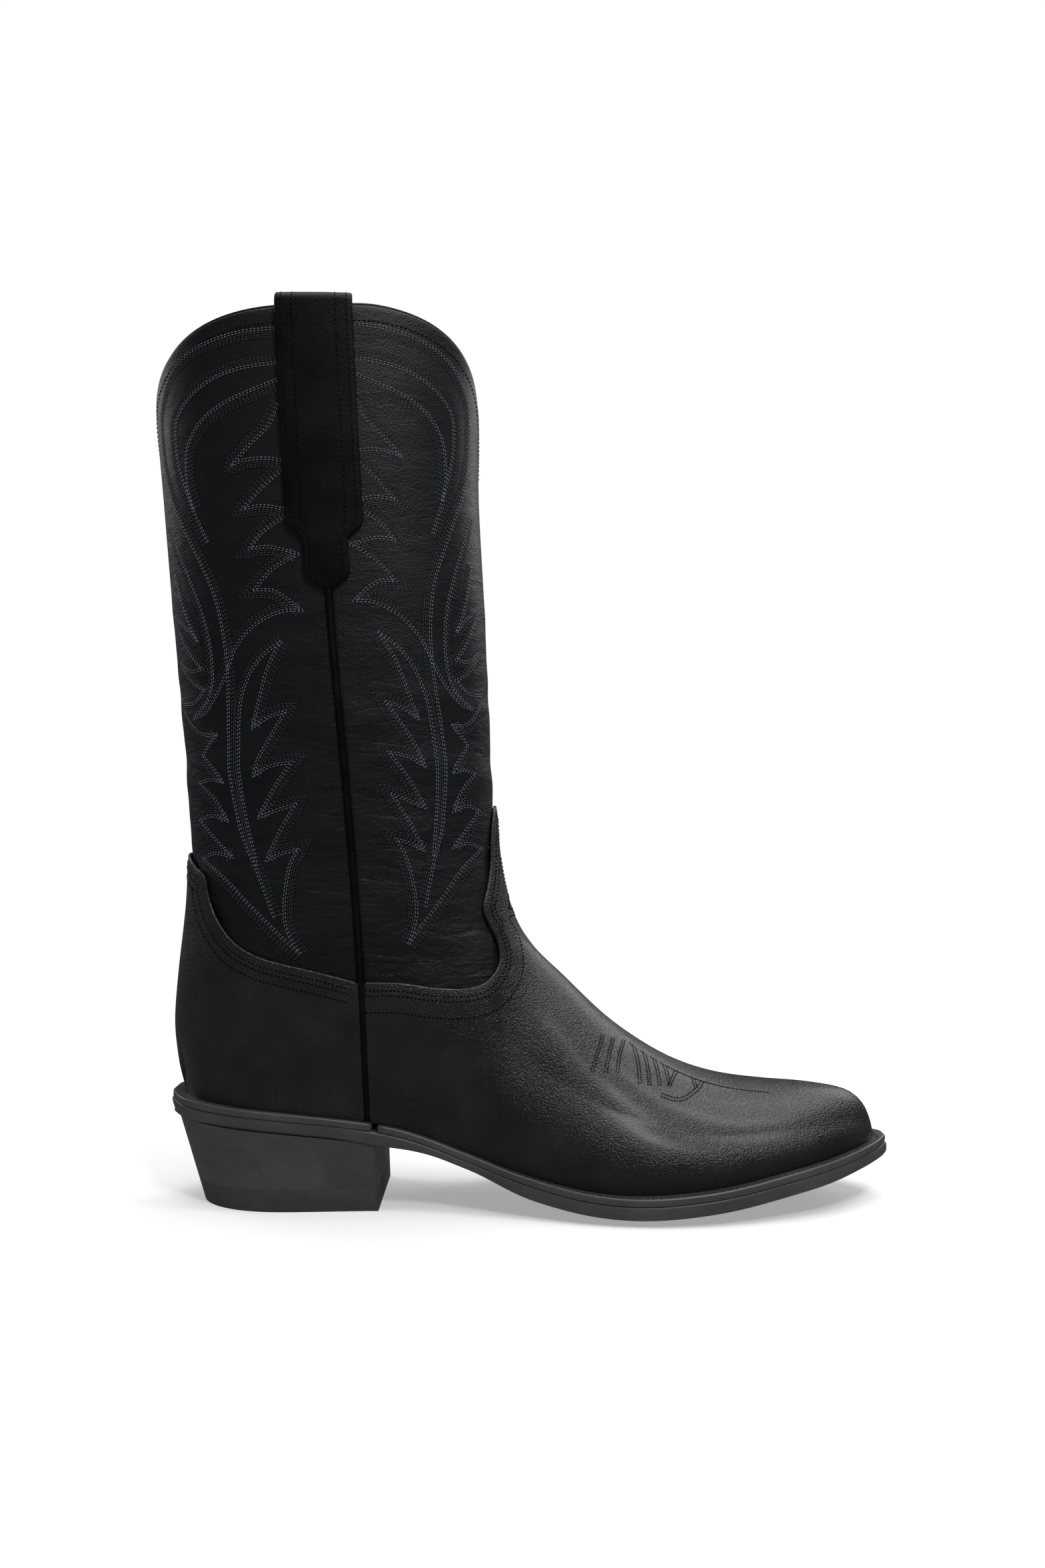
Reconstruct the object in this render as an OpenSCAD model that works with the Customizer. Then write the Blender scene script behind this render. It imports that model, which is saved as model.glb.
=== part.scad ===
// Western riding boot for a right foot, standing on its heel cap and the ball of its sole.
// Millimetres, +X to the toe, +Y to the inner (medial) side, +Z up.
// The origin is on the floor, under the middle of the boot.
// Every leather layer is an offset of one upper surface, whose half width is upper_half(x, z, side).

/* [Shaft] */
// Height of the rim at the side seams, above the floor
rim_height = 367; // [340:1:390]
// How far the rim dips at the front
front_dip = 54; // [30:1:65]
// How far the rim dips at the back
back_dip = 59; // [30:1:65]
// Half width of the shaft at the rim
rim_half_width = 47; // [42:1:52]
// Half width of the shaft at the ankle
ankle_half_width = 36; // [33:1:40]

/* [Foot] */
// Share of the sole's width that the upper covers
upper_share = 0.87; // [0.84:0.01:0.89]
// Height that the instep bulges outwards above the welt
bulge = 2; // [0:0.5:3]

/* [Layers] */
// Thickness of the vamp and counter leather
cover_t = 1.4; // [1.2:0.1:1.6]
// Thickness of the shaft leather and of the stiffeners
middle_t = 1.5; // [1.2:0.1:1.6]
// Thickness of the lining leather
lining_t = 0.9; // [0.8:0.1:1.1]
// Gap kept between two layers
layer_gap = 0.5; // [0.4:0.1:0.6]

/* [Seams and straps] */
// Radius of the piping in the side seams
piping_r = 1.3; // [1:0.1:1.5]
// Width of a pull strap
strap_w = 31; // [28:1:34]
// Thickness of a pull strap
strap_t = 1.9; // [1.5:0.1:2.1]
// Height of the tip of the strap's tab
strap_tip = 255; // [245:1:262]
// Radius of the rim bead
bead_r = 0.9; // [0.7:0.1:1]

/* [Sole] */
// Thickness of the welt and of the heel rand
welt_t = 3; // [2.5:0.5:3.5]
// Thickness of the outsole
outsole_t = 5.4; // [5:0.1:6]
// How far the ball of the outsole is crowned below its edges
crown = 2.6; // [2:0.1:3]
// Thickness of the insole
insole_t = 3; // [2:0.5:3]
// Thickness of the sock liner
sock_t = 1.2; // [0.8:0.1:1.5]
// Radius of a shank peg
peg_r = 1; // [0.8:0.1:1.2]

/* [Heel] */
// Thickness of the rubber heel cap
cap_t = 9.4; // [8:0.1:10]
// Number of flat lifts above the cap
lift_count = 3; // [3]
// Half width of the heel at the floor
heel_half_width = 30; // [28:1:32]
// Radius of a heel nail
nail_r = 1.2; // [1:0.1:1.5]

/* [Hidden] */

// Sides: the outer (lateral) side faces -Y, the inner (medial) side +Y
OUTER = -1;
INNER = 1;

LEATHER = [0.09, 0.09, 0.10];
LINING = [0.78, 0.62, 0.44];
SOLE_EDGE = [0.12, 0.11, 0.11];
CORK = [0.62, 0.45, 0.28];
RUBBER = [0.07, 0.07, 0.07];
STEEL = [0.70, 0.71, 0.73];
PEG_WOOD = [0.80, 0.66, 0.42];

// Side view outlines, [x, z], along the middle of the boot
HEEL_BACK = -149.6;
TOE_TIP = 156;
FEATHER_BACK = -143;
FEATHER_TIP = 149.2;
RIM_REF = 367; // the rim height for which the outlines below are drawn
STRETCH_FROM = 180; // a taller shaft is stretched above this height
function stretched(z) = z < STRETCH_FROM ? z
    : STRETCH_FROM + (z - STRETCH_FROM) * (rim_height - STRETCH_FROM) / (RIM_REF - STRETCH_FROM);
function shaft_points(p) = [for (q = p) [q[0], stretched(q[1])]];

BACK_LINE = shaft_points([[-143, 46], [-146.2, 58], [-147.7, 75], [-146.4, 95], [-143.2, 125],
    [-142.6, 145], [-143.5, 165], [-145.5, 195], [-149.9, 245], [-154, 295], [-157.6, 340], [-157.6, 380]]);
FRONT_LINE = shaft_points([[149.2, 26], [148.4, 31.5], [145, 38.8], [137.8, 43.8], [122, 46.4],
    [104, 47.6], [86, 49.8], [69.5, 54.5], [53.6, 62.4], [35.4, 75.2], [17.2, 92.5], [3.5, 106],
    [-5, 120.5], [-10.2, 142], [-12.2, 168], [-13.9, 205], [-15.8, 250], [-18.4, 300], [-18, 340],
    [-17.8, 380]]);
SEAM_LINE = shaft_points([[-64, 30], [-66, 95], [-71.5, 175], [-78, 255], [-84.5, 380]]);
SOLE_TOP = [[-149.6, 46.5], [-117, 43], [-77, 38.6], [-50, 34], [-23, 25], [0, 17.6], [25, 12.6],
    [50, 11.4], [80, 13.8], [110, 18.6], [135, 22.6], [156, 26.4]];
VAMP_TOP = [[-64.4, 94.6], [-50, 94.2], [-37, 92.4], [-27, 92], [-20.5, 94.2], [-16.8, 99],
    [-15.2, 106], [-15, 115], [-15.4, 125], [-14.8, 134], [-13.9, 144], [-13.2, 155], [-12.3, 166]];
COUNTER_TOP = [[-67.7, 94.6], [-85.5, 99.2], [-97, 101.8], [-109, 105], [-119.5, 110.5],
    [-127.5, 119.5], [-132, 129], [-134.2, 137.2], [-139, 141], [-144.1, 146]];

// Plan outlines of the sole, [x, half width]
OUTER_OUTLINE = [[-149.6, 4], [-146.8, 14], [-139, 25], [-121, 32.6], [-95, 33.5], [-60, 31.5],
    [-30, 33], [0, 41], [30, 50], [54, 53], [80, 50.5], [104, 43.5], [125, 34], [141, 22.5],
    [151, 12.2], [156, 3]];
INNER_OUTLINE = [[-149.6, 4], [-146.8, 14], [-139, 25], [-121, 32.6], [-95, 33], [-60, 28.5],
    [-25, 25.5], [5, 32.5], [36, 46], [64, 53], [86, 51.5], [108, 44.5], [127, 34.5],
    [142, 22.5], [151.4, 12.2], [156, 3]];

// ---- curves ----
function mix(a, b, k) = a + (b - a) * k;
function clamp(k) = max(0, min(1, k));
function ease(k) = let (c = clamp(k)) c * c * (3 - 2 * c);
function turn_between(p, i, t) = let (n = len(p) - 1, a = p[max(i - 1, 0)], b = p[i],
        c = p[min(i + 1, n)], d = p[min(i + 2, n)])
    0.5 * (2 * b + (c - a) * t + (2 * a - 5 * b + 4 * c - d) * t * t + (3 * b - a - 3 * c + d) * t * t * t);
function smooth(p, n = 6) = [for (i = [0 : len(p) - 2], k = [0 : n - 1]) turn_between(p, i, k / n),
    p[len(p) - 1]];
function swapped(p) = [for (q = p) [q[1], q[0]]];
function run_of(p) = [for (i = 0, s = 0; i < len(p);
    s = i < len(p) - 1 ? s + norm(p[i + 1] - p[i]) : s, i = i + 1) s];
// A path is two lookup tables, x and z against the share of its length
function path(p) = let (r = run_of(p), all = r[len(r) - 1])
    [[for (i = [0 : len(p) - 1]) [r[i] / all, p[i][0]]], [for (i = [0 : len(p) - 1]) [r[i] / all, p[i][1]]]];
function along(p, t) = [lookup(t, p[0]), lookup(t, p[1])];

BACK = smooth(BACK_LINE);
FRONT = smooth(FRONT_LINE);
BACK_BY_Z = swapped(BACK);
FRONT_BY_Z = swapped(FRONT);
SEAM_BY_Z = swapped(smooth(SEAM_LINE));
FRONT_BY_X = [for (p = FRONT) if (p[1] < 168) p];
TOP_BY_X = smooth(SOLE_TOP);
OUTER_BY_X = smooth(OUTER_OUTLINE);
INNER_BY_X = smooth(INNER_OUTLINE);

function back_x(z) = lookup(z, BACK_BY_Z);
function front_x(z) = lookup(z, FRONT_BY_Z);
function seam_x(z) = lookup(z, SEAM_BY_Z);
function sole_top(x) = lookup(x, TOP_BY_X);
function outline(x, side) = lookup(x, side == OUTER ? OUTER_BY_X : INNER_BY_X);
// Above the throat the ridge is treated as far away, so that only the shaft shapes the side there
function ridge_z(x) = x < -13 ? 166 + (-13 - x) * 12 : lookup(x, FRONT_BY_X);

// ---- the upper surface ----
FEATHER_LIFT = 0.4; // the upper stands this far above the welt,
WAIST_LIFT = 0.5; // and more where the sole's top curves down into the waist
ROUNDNESS = 2.15;
SHAFT_HALF = [[40, 29.4], [60, 31.5], [80, 33.5], [100, 35.2], [120, ankle_half_width],
    [150, ankle_half_width + 1.5], [200, mix(ankle_half_width, rim_half_width, 0.5)],
    [260, mix(ankle_half_width, rim_half_width, 0.85)], [330, rim_half_width], [400, rim_half_width]];
SHAFT_HALF_BY_Z = smooth(SHAFT_HALF);
BACK_ROUND = smooth([[40, 36], [60, 40], [95, 52], [130, 64], [180, 67], [400, 70]]);
FRONT_ROUND = smooth([[40, 100], [95, 92], [115, 78], [130, 69], [180, 67], [400, 70]]);
FULLNESS = smooth([[-60, 1.6], [0, 1.55], [30, 1.6], [60, 1.85], [90, 2], [148, 2]]);

function feather_x(x) = HEEL_BACK + (x - FEATHER_BACK) * (TOE_TIP - HEEL_BACK) / (FEATHER_TIP - FEATHER_BACK);
function feather_half(x, side) = upper_share * outline(feather_x(x), side);
function feather_z(x) = sole_top(x) + FEATHER_LIFT;
function rounded(e) = e <= 0 ? 1 : pow(max(0, 1 - pow(min(1, e), ROUNDNESS)), 1 / ROUNDNESS);
function shaft_half(x, z) = lookup(z, SHAFT_HALF_BY_Z)
    * rounded(1 - (x - back_x(z)) / lookup(z, BACK_ROUND))
    * rounded(1 - (front_x(z) - x) / lookup(z, FRONT_ROUND));
function foot_half(x, z, side) = let (low = feather_z(x), r = clamp((z - low) / max(0.1, ridge_z(x) - low)))
    (feather_half(x, side) + bulge * sin(180 * min(1, 2 * r))) * sqrt(max(0, 1 - pow(r, lookup(x, FULLNESS))));
function heel_half(x, z, side) = mix(feather_half(x, side), shaft_half(x, z), ease((z - feather_z(x)) / 30));
function foot_share(x, z) = ease((x + 45) / 50) * (1 - ease((z - 100) / 50));
function upper_half(x, z, side) = let (k = foot_share(x, z))
    mix(k < 1 ? heel_half(x, z, side) : 0, k > 0 ? foot_half(x, z, side) : 0, k);
function upper_point(p, side) = [p[0], side * upper_half(p[0], p[1], side), p[1]];

// A panel is [bottom, top, seam edge, middle edge], four side view paths. Column a runs from the outer
// seam at -1 to the middle of the panel at 0 and the inner seam at 1, row t from its bottom to its top.
SEAM_EDGE = piping_r + 0.4;
function feather_path(x0, x1, n = 30) = path([for (i = [0 : n]) let (x = mix(x0, x1, i / n)) [x, feather_z(x)]]);
function seam_path(dx, z0, z1, n = 10) = path([for (i = [0 : n]) let (z = mix(z0, z1, i / n)) [seam_x(z) + dx, z]]);
function line_path(line, z0, z1) = path(concat([[lookup(z0, swapped(line)), z0]],
    [for (p = line) if (p[1] > z0 && p[1] < z1) p], [[lookup(z1, swapped(line)), z1]]));
VAMP_FOOT_X = seam_x(40) + SEAM_EDGE;
COUNTER_FOOT_X = seam_x(40) - SEAM_EDGE;
// The vamp's columns fan forwards to the toe, so that its rows turn the corner at the throat cleanly
FAN = 0.3;
function fanned_feather(x0, x1, n = 40) = let (p = [for (i = [0 : n])
        let (q = i / n, x = mix(x0, x1, 1 - (1 - q) * (1 - q + FAN) / (1 + FAN))) [q, x, feather_z(x)]])
    [[for (r = p) [r[0], r[1]]], [for (r = p) [r[0], r[2]]]];
VAMP_PANEL = [fanned_feather(VAMP_FOOT_X, FEATHER_TIP), path(smooth(VAMP_TOP)),
    seam_path(SEAM_EDGE, feather_z(VAMP_FOOT_X), VAMP_TOP[0][1]),
    line_path(FRONT, feather_z(FEATHER_TIP), VAMP_TOP[len(VAMP_TOP) - 1][1])];
COUNTER_PANEL = [feather_path(COUNTER_FOOT_X, FEATHER_BACK), path(smooth(COUNTER_TOP)),
    seam_path(-SEAM_EDGE, feather_z(COUNTER_FOOT_X), COUNTER_TOP[0][1]),
    line_path(BACK, feather_z(FEATHER_BACK), COUNTER_TOP[len(COUNTER_TOP) - 1][1])];

function coons(m, q, t) = (1 - t) * along(m[0], q) + t * along(m[1], q)
    + (1 - q) * along(m[2], t) + q * along(m[3], t)
    - (1 - q) * ((1 - t) * along(m[0], 0) + t * along(m[1], 0))
    - q * ((1 - t) * along(m[0], 1) + t * along(m[1], 1));
function panel_point(m, a, t) = let (p = coons(m, cos(90 * a), t))
    a == 0 ? [p[0], 0, p[1]] : upper_point(p, a < 0 ? OUTER : INNER);

// The shaft's own columns: the same a, with height z in place of the row
function shaft_side(front, a, z) = let (b = back_x(z), f = front_x(z), mid = (b + f) / 2, half = (f - b) / 2,
        edge = asin((seam_x(z) + (front ? SEAM_EDGE : -SEAM_EDGE) - mid) / half))
    mid + half * sin(mix(front ? 90 : -90, edge, abs(a)));
function shaft_point(front, a, z) = let (x = shaft_side(front, a, z))
    a == 0 ? [x, 0, z] : upper_point([x, z], a < 0 ? OUTER : INNER);

NUDGE = 0.015;
function unit(v) = v / max(1e-9, norm(v));
// Outward normals: across the columns, then up the rows
function panel_normal(m, a, t, way) = way * unit(cross(
    panel_point(m, min(1, a + NUDGE), t) - panel_point(m, max(-1, a - NUDGE), t),
    panel_point(m, a, min(1, t + NUDGE)) - panel_point(m, a, max(0, t - NUDGE))));
function shaft_normal(front, a, z) = (front ? 1 : -1) * unit(cross(
    shaft_point(front, min(1, a + NUDGE), z) - shaft_point(front, max(-1, a - NUDGE), z),
    shaft_point(front, a, z + 2) - shaft_point(front, a, z - 2)));
FRONTWARDS = 1;
BACKWARDS = -1;

// ---- solids ----
// A closed solid between two grids of points of the same size, top facing outwards
module slab(top, bottom) {
    rows = len(top);
    cols = len(top[0]);
    size = rows * cols;
    function at(i, j) = i * cols + j;
    function quad(a, b, c, d) = [[a, d, c], [a, c, b]];
    faces = [for (i = [0 : rows - 2], j = [0 : cols - 2])
            each quad(at(i, j), at(i + 1, j), at(i + 1, j + 1), at(i, j + 1)),
        for (i = [0 : rows - 2], j = [0 : cols - 2])
            each quad(size + at(i, j), size + at(i, j + 1), size + at(i + 1, j + 1), size + at(i + 1, j)),
        for (i = [0 : rows - 2])
            each quad(at(i, 0), size + at(i, 0), size + at(i + 1, 0), at(i + 1, 0)),
        for (i = [0 : rows - 2])
            each quad(at(i, cols - 1), at(i + 1, cols - 1), size + at(i + 1, cols - 1), size + at(i, cols - 1)),
        for (j = [0 : cols - 2])
            each quad(at(0, j), at(0, j + 1), size + at(0, j + 1), size + at(0, j)),
        for (j = [0 : cols - 2])
            each quad(at(rows - 1, j), size + at(rows - 1, j), size + at(rows - 1, j + 1), at(rows - 1, j + 1))];
    polyhedron(points = [for (row = top) each row, for (row = bottom) each row], faces = faces);
}

// A round tube through points, with sides given a starting direction; closed joins its ends
module tube(points, r, sides = 8, closed = false) {
    n = len(points);
    function way(i) = closed ? points[(i + 1) % n] - points[(i + n - 1) % n]
        : points[min(n - 1, i + 1)] - points[max(0, i - 1)];
    function ring(i) = let (w = unit(way(i)), u = unit(cross(w, [0.13, 0.35, 1])), v = cross(w, u))
        [for (k = [0 : sides - 1]) points[i] + r * (cos(360 * k / sides) * u + sin(360 * k / sides) * v)];
    last = closed ? n - 1 : n - 2;
    side_faces = [for (i = [0 : last], k = [0 : sides - 1]) let (i2 = (i + 1) % n, k2 = (k + 1) % sides)
        each [[i * sides + k, i2 * sides + k, i2 * sides + k2], [i * sides + k, i2 * sides + k2, i * sides + k2]]];
    ends = closed ? [] : [[for (k = [0 : sides - 1]) k], [for (k = [sides - 1 : -1 : 0]) (n - 1) * sides + k]];
    polyhedron(points = [for (i = [0 : n - 1]) each ring(i)], faces = concat(side_faces, ends));
}

// ---- layers of the upper ----
COVER = [0, cover_t];
MIDDLE = [-layer_gap - middle_t, -layer_gap];
LINED = [MIDDLE[0] - layer_gap - lining_t, MIDDLE[0] - layer_gap];
TUCK_SINK = 0.8; // the shaft's lower edge is drawn in under the vamp and the counter by this much
FOOT_SINK = TUCK_SINK + 0.3; // the linings of the foot lie below the tucked edges
FOOT_LINED = [LINED[0] - FOOT_SINK, LINED[1] - FOOT_SINK];

function columns(n, reach = 1) = [for (i = [-n : n]) reach * i / n];
// The layers of a panel share its rows, so that their facets lie parallel
function panel_rows(n, power) = [for (i = [0 : n]) pow(i / n, power)];
function below(rows, top) = [for (t = rows) if (t < top) t];
function lift_at(x) = FEATHER_LIFT + WAIST_LIFT * ease((x + 75) / 15) * (1 - ease((x + 28) / 15));
function above_sole(p) = [p[0], p[1], max(p[2], sole_top(p[0]) + lift_at(p[0]))];
function panel_layer(m, way, cols, rows, off) = [for (t = rows) [for (a = cols)
    above_sole(panel_point(m, a, t) + off * panel_normal(m, a, t, way))]];
module panel_shell(m, way, cols, rows, layer) {
    outside = panel_layer(m, way, cols, rows, layer[1]);
    inside = panel_layer(m, way, cols, rows, layer[0]);
    if (way == FRONTWARDS) slab(inside, outside);
    else slab(outside, inside);
}

FRONT_RISE = 1.6; // the front half of the rim rises a little from the side seam before it dips
function rim_z(front, a) = let (k = 1 - abs(a)) front
    ? rim_height + FRONT_RISE * ease(k / 0.25) - (front_dip + FRONT_RISE) * (0.62 * pow(k, 2.6) + 0.38 * pow(k, 16))
    : rim_height - back_dip * (0.74 * pow(k, 2.35) + 0.26 * pow(k, 16));
// The vamp's and counter's edges against the column, for what is tucked under them or ends above them
FRONT_TUCK = smooth([[0, 148], [0.17, 131], [0.3, 116], [0.42, 95], [0.52, 86], [0.7, 80.5], [1, 83]]);
BACK_TUCK = smooth([[0, 134], [0.35, 124], [0.5, 104], [0.7, 92], [1, 84]]);
LINING_ABOVE = 16;
function shaft_low(front, a) = lookup(abs(a), front ? FRONT_TUCK : BACK_TUCK);
TUCK_HEIGHT = 34;
function shaft_layer(front, cols, rows, off, raise) = [for (i = [0 : rows]) [for (a = cols)
    let (low = shaft_low(front, a), z = mix(low + raise, rim_z(front, a), i / rows),
        sink = TUCK_SINK * (1 - ease((z - low) / TUCK_HEIGHT)))
    shaft_point(front, a, z) + (off - sink) * shaft_normal(front, a, z)]];
module shaft_shell(front, cols, rows, layer, raise = 0) {
    outside = shaft_layer(front, cols, rows, layer[1], raise);
    inside = shaft_layer(front, cols, rows, layer[0], raise);
    if (front) slab(inside, outside);
    else slab(outside, inside);
}

VAMP_COLUMNS = columns(14);
VAMP_ROWS = panel_rows(21, 1.25);
COUNTER_COLUMNS = columns(8);
COUNTER_ROWS = panel_rows(8, 1);
SHAFT_COLUMNS = columns(10);
TOE_BOX_REACH = 0.27; // share of the vamp's height
HEEL_COUNTER_REACH = 0.65; // share of the counter cover's height
LINING_REACH = 0.93; // share of a panel's height

module vamp() { color(LEATHER) panel_shell(VAMP_PANEL, FRONTWARDS, VAMP_COLUMNS, VAMP_ROWS, COVER); }
module counter_cover() {
    color(LEATHER) panel_shell(COUNTER_PANEL, BACKWARDS, COUNTER_COLUMNS, COUNTER_ROWS, COVER);
}
module vamp_lining() {
    color(LINING) panel_shell(VAMP_PANEL, FRONTWARDS, VAMP_COLUMNS, below(VAMP_ROWS, LINING_REACH), FOOT_LINED);
}
module heel_lining() {
    color(LINING) panel_shell(COUNTER_PANEL, BACKWARDS, COUNTER_COLUMNS, below(COUNTER_ROWS, LINING_REACH), FOOT_LINED);
}
module toe_box() {
    cols = [for (a = VAMP_COLUMNS) if (abs(a) < 0.55) a];
    color(CORK) panel_shell(VAMP_PANEL, FRONTWARDS, cols, below(VAMP_ROWS, TOE_BOX_REACH), MIDDLE);
}
module heel_counter() {
    cols = [for (a = COUNTER_COLUMNS) if (abs(a) < 0.8) a];
    color(CORK) panel_shell(COUNTER_PANEL, BACKWARDS, cols, below(COUNTER_ROWS, HEEL_COUNTER_REACH), MIDDLE);
}
module shaft_front() { color(LEATHER) shaft_shell(true, SHAFT_COLUMNS, 17, MIDDLE); }
module shaft_back() { color(LEATHER) shaft_shell(false, SHAFT_COLUMNS, 17, MIDDLE); }
module lining_front() { color(LINING) shaft_shell(true, SHAFT_COLUMNS, 12, LINED, LINING_ABOVE); }
module lining_back() { color(LINING) shaft_shell(false, SHAFT_COLUMNS, 12, LINED, LINING_ABOVE); }

// ---- side seams, rim and straps ----
PIPING_LIFT = 0.2;
module piping(side) {
    low = feather_z(seam_x(40)) + piping_r;
    color(LEATHER) tube([for (i = [0 : 44]) let (z = mix(low, strap_tip - 1, i / 44))
        upper_point([seam_x(z), z], side) + [0, side * PIPING_LIFT, 0]], piping_r);
}

BEAD_OFFSET = (LINED[0] + MIDDLE[1]) / 2;
function rim_point(front, a) = let (z = rim_z(front, a))
    shaft_point(front, a, z) + BEAD_OFFSET * shaft_normal(front, a, z);
module rim_bead() {
    cols = [for (i = [-15 : 15]) sign(i) * pow(abs(i) / 15, 1.15)];
    rim = concat([for (a = cols) rim_point(true, a)],
        [for (i = [len(cols) - 1 : -1 : 0]) rim_point(false, cols[i])]);
    n = len(rim);
    color(LEATHER) tube([for (i = [0 : n - 1]) let (w = unit(rim[(i + 1) % n] - rim[(i + n - 1) % n]),
            out = unit([rim[i][0] + 88, rim[i][1], 0]), up = unit(cross(out, w)))
        rim[i] + (bead_r + 0.3) * sign(up[2]) * up], bead_r, closed = true);
}

STRAP_GAP = 0.5; // from the shaft and the lining to the strap
STRAP_SHOULDER = 280;
STRAP_BEND = 2.2; // inner radius of the fold over the rim
STRAP_INNER_END = 292;
// Half width of the strap against height: tip, tab, shoulder, straight part
STRAP_HALF = [[strap_tip, 1.2], [strap_tip + 5.5, 9], [strap_tip + 14, 8.8], [strap_tip + 20, 9.1],
    [STRAP_SHOULDER - 2.5, 11], [STRAP_SHOULDER, strap_w / 2 - 0.8], [rim_height, strap_w / 2],
    [rim_height + 20, strap_w / 2]];
STRAP_ROWS = [strap_tip, strap_tip + 2.8, strap_tip + 5.5, strap_tip + 14, strap_tip + 20,
    STRAP_SHOULDER - 2.5, STRAP_SHOULDER - 1.2, STRAP_SHOULDER, 296, 310, 324, 338, 352, 362];
function strap_surface(side, dx, z, off) = let (x = seam_x(z) + dx, p = upper_point([x, z], side),
        n = unit(cross(upper_point([x + 2, z], side) - upper_point([x - 2, z], side),
            upper_point([x, z + 2], side) - upper_point([x, z - 2], side)))) p - side * off * n;
function strap_row(side, z, half, off) = [for (k = [-3 : 3]) strap_surface(side, half * k / 3, z, off)];
// The fold is half a turn about a line above the rim, half way between the two legs
function strap_layer(side, thick) = let (middle = (LINED[0] + MIDDLE[1]) / 2, r = STRAP_BEND + thick,
        fold_z = rim_height + 2.4)
    concat([for (z = STRAP_ROWS) strap_row(side, z, lookup(z, STRAP_HALF), middle + r)],
        [for (turn = [0 : 30 : 180]) [for (p = strap_row(side, rim_height - 2, strap_w / 2, middle + r * cos(turn)))
            [p[0], p[1], fold_z + r * sin(turn)]]],
        [for (z = [360, 345, 328, 310, STRAP_INNER_END]) strap_row(side, z, strap_w / 2, middle - r)]);
module pull_strap(side) {
    outside = strap_layer(side, strap_t);
    inside = strap_layer(side, 0);
    color(LEATHER) if (side == OUTER) slab(inside, outside);
    else slab(outside, inside);
}

// ---- sole ----
ACROSS = [-1, -0.55, 0, 0.55, 1];
function sole_grid(xs, inset, z_of) = [for (x = xs) [for (k = ACROSS)
    let (side = k < 0 ? OUTER : INNER) [x, k * max(1.5, outline(x, side) - inset), z_of(x, k)]]];
// Under the heel seat the outsole's lower edge is cut back, down to the outline of the heel
SEAT_UNDERCUT = 1.6;
function seat_undercut(x) = SEAT_UNDERCUT * (1 - ease((x + 80) / 20));
function cut_back(grid) = [for (row = grid) [for (p = row) let (cut = seat_undercut(p[0]))
    [p[0] + cut * ease((-125 - p[0]) / 20), p[1] * (1 - cut / 34), p[2]]]];
function eased_range(x0, x1, n) = [for (i = [0 : n]) mix(x0, x1, (1 - cos(180 * i / n)) / 2)];
SOLE_X = eased_range(HEEL_BACK, TOE_TIP, 30);
WELT_GAP = 0.3;
function crown_at(x) = crown * ease((x + 25) / 55) * (1 - ease((x - 70) / 75));
// The outsole is skived thinner through the waist and a little at the toe
WAIST_SKIVE = 2.4;
TOE_SKIVE = 1.1;
function outsole_at(x) = outsole_t - WAIST_SKIVE * ease((x + 62) / 30) * (1 - ease((x + 22) / 28))
    - TOE_SKIVE * ease((x - 118) / 36);
function outsole_low(x, k) = sole_top(x) - welt_t - WELT_GAP - outsole_at(x) - crown_at(x) * (1 - k * k);
function outsole_high(x, k) = sole_top(x) - welt_t - WELT_GAP;
module outsole() {
    color(SOLE_EDGE) difference() {
        slab(sole_grid(SOLE_X, 0, function(x, k) outsole_high(x, k)),
            cut_back(sole_grid(SOLE_X, 0, function(x, k) outsole_low(x, k))));
        shank_pegs(PEG_FIT);
        heel_nails(PEG_FIT);
    }
}

// A strip along the sole's outline, between two insets, going round the toe or round the heel
BREAST_X = -61;
function edge_point(x, side, inset) = let (w = outline(x, side),
        slope = (outline(x + 0.5, side) - outline(x - 0.5, side)), n = unit([slope, -1]))
    [x + inset * n[0] * min(1, w / 6), side * max(0.8, w + inset * n[1])];
function strip_xs(x0, x1, n, side) = [for (i = [0 : n]) [mix(x0, x1, sin(90 * i / n)), side]];
function strip_points(x0, x1, n) = concat(strip_xs(x0, x1, n, OUTER),
    [for (i = [n : -1 : 0]) strip_xs(x0, x1, n, INNER)[i]]);
function strip_row(points, inset, low) = [for (p = points) let (e = edge_point(p[0], p[1], inset))
    [e[0], e[1], sole_top(e[0]) - low]];
module edge_strip(points, inset0, inset1, low0, low1, way) {
    top = [strip_row(points, inset0, low0), strip_row(points, inset1, low0)];
    under = [strip_row(points, inset0, low1), strip_row(points, inset1, low1)];
    if (way > 0) slab(under, top);
    else slab(top, under);
}
WELT_POINTS = strip_points(BREAST_X + 2, TOE_TIP - 0.4, 22);
RAND_POINTS = strip_points(BREAST_X - 2, HEEL_BACK + 0.4, 14);
module welt() { color(SOLE_EDGE) edge_strip(WELT_POINTS, 0, 11, 0, welt_t, FRONTWARDS); }
module heel_rand() { color(SOLE_EDGE) edge_strip(RAND_POINTS, 0, 11, 0, welt_t, BACKWARDS); }
THREAD_FROM = -18;
module welt_thread() {
    color(LEATHER) edge_strip(strip_points(THREAD_FROM, TOE_TIP - 2, 22), 0.7, 1.4, -0.65, -0.15, FRONTWARDS);
}

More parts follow.
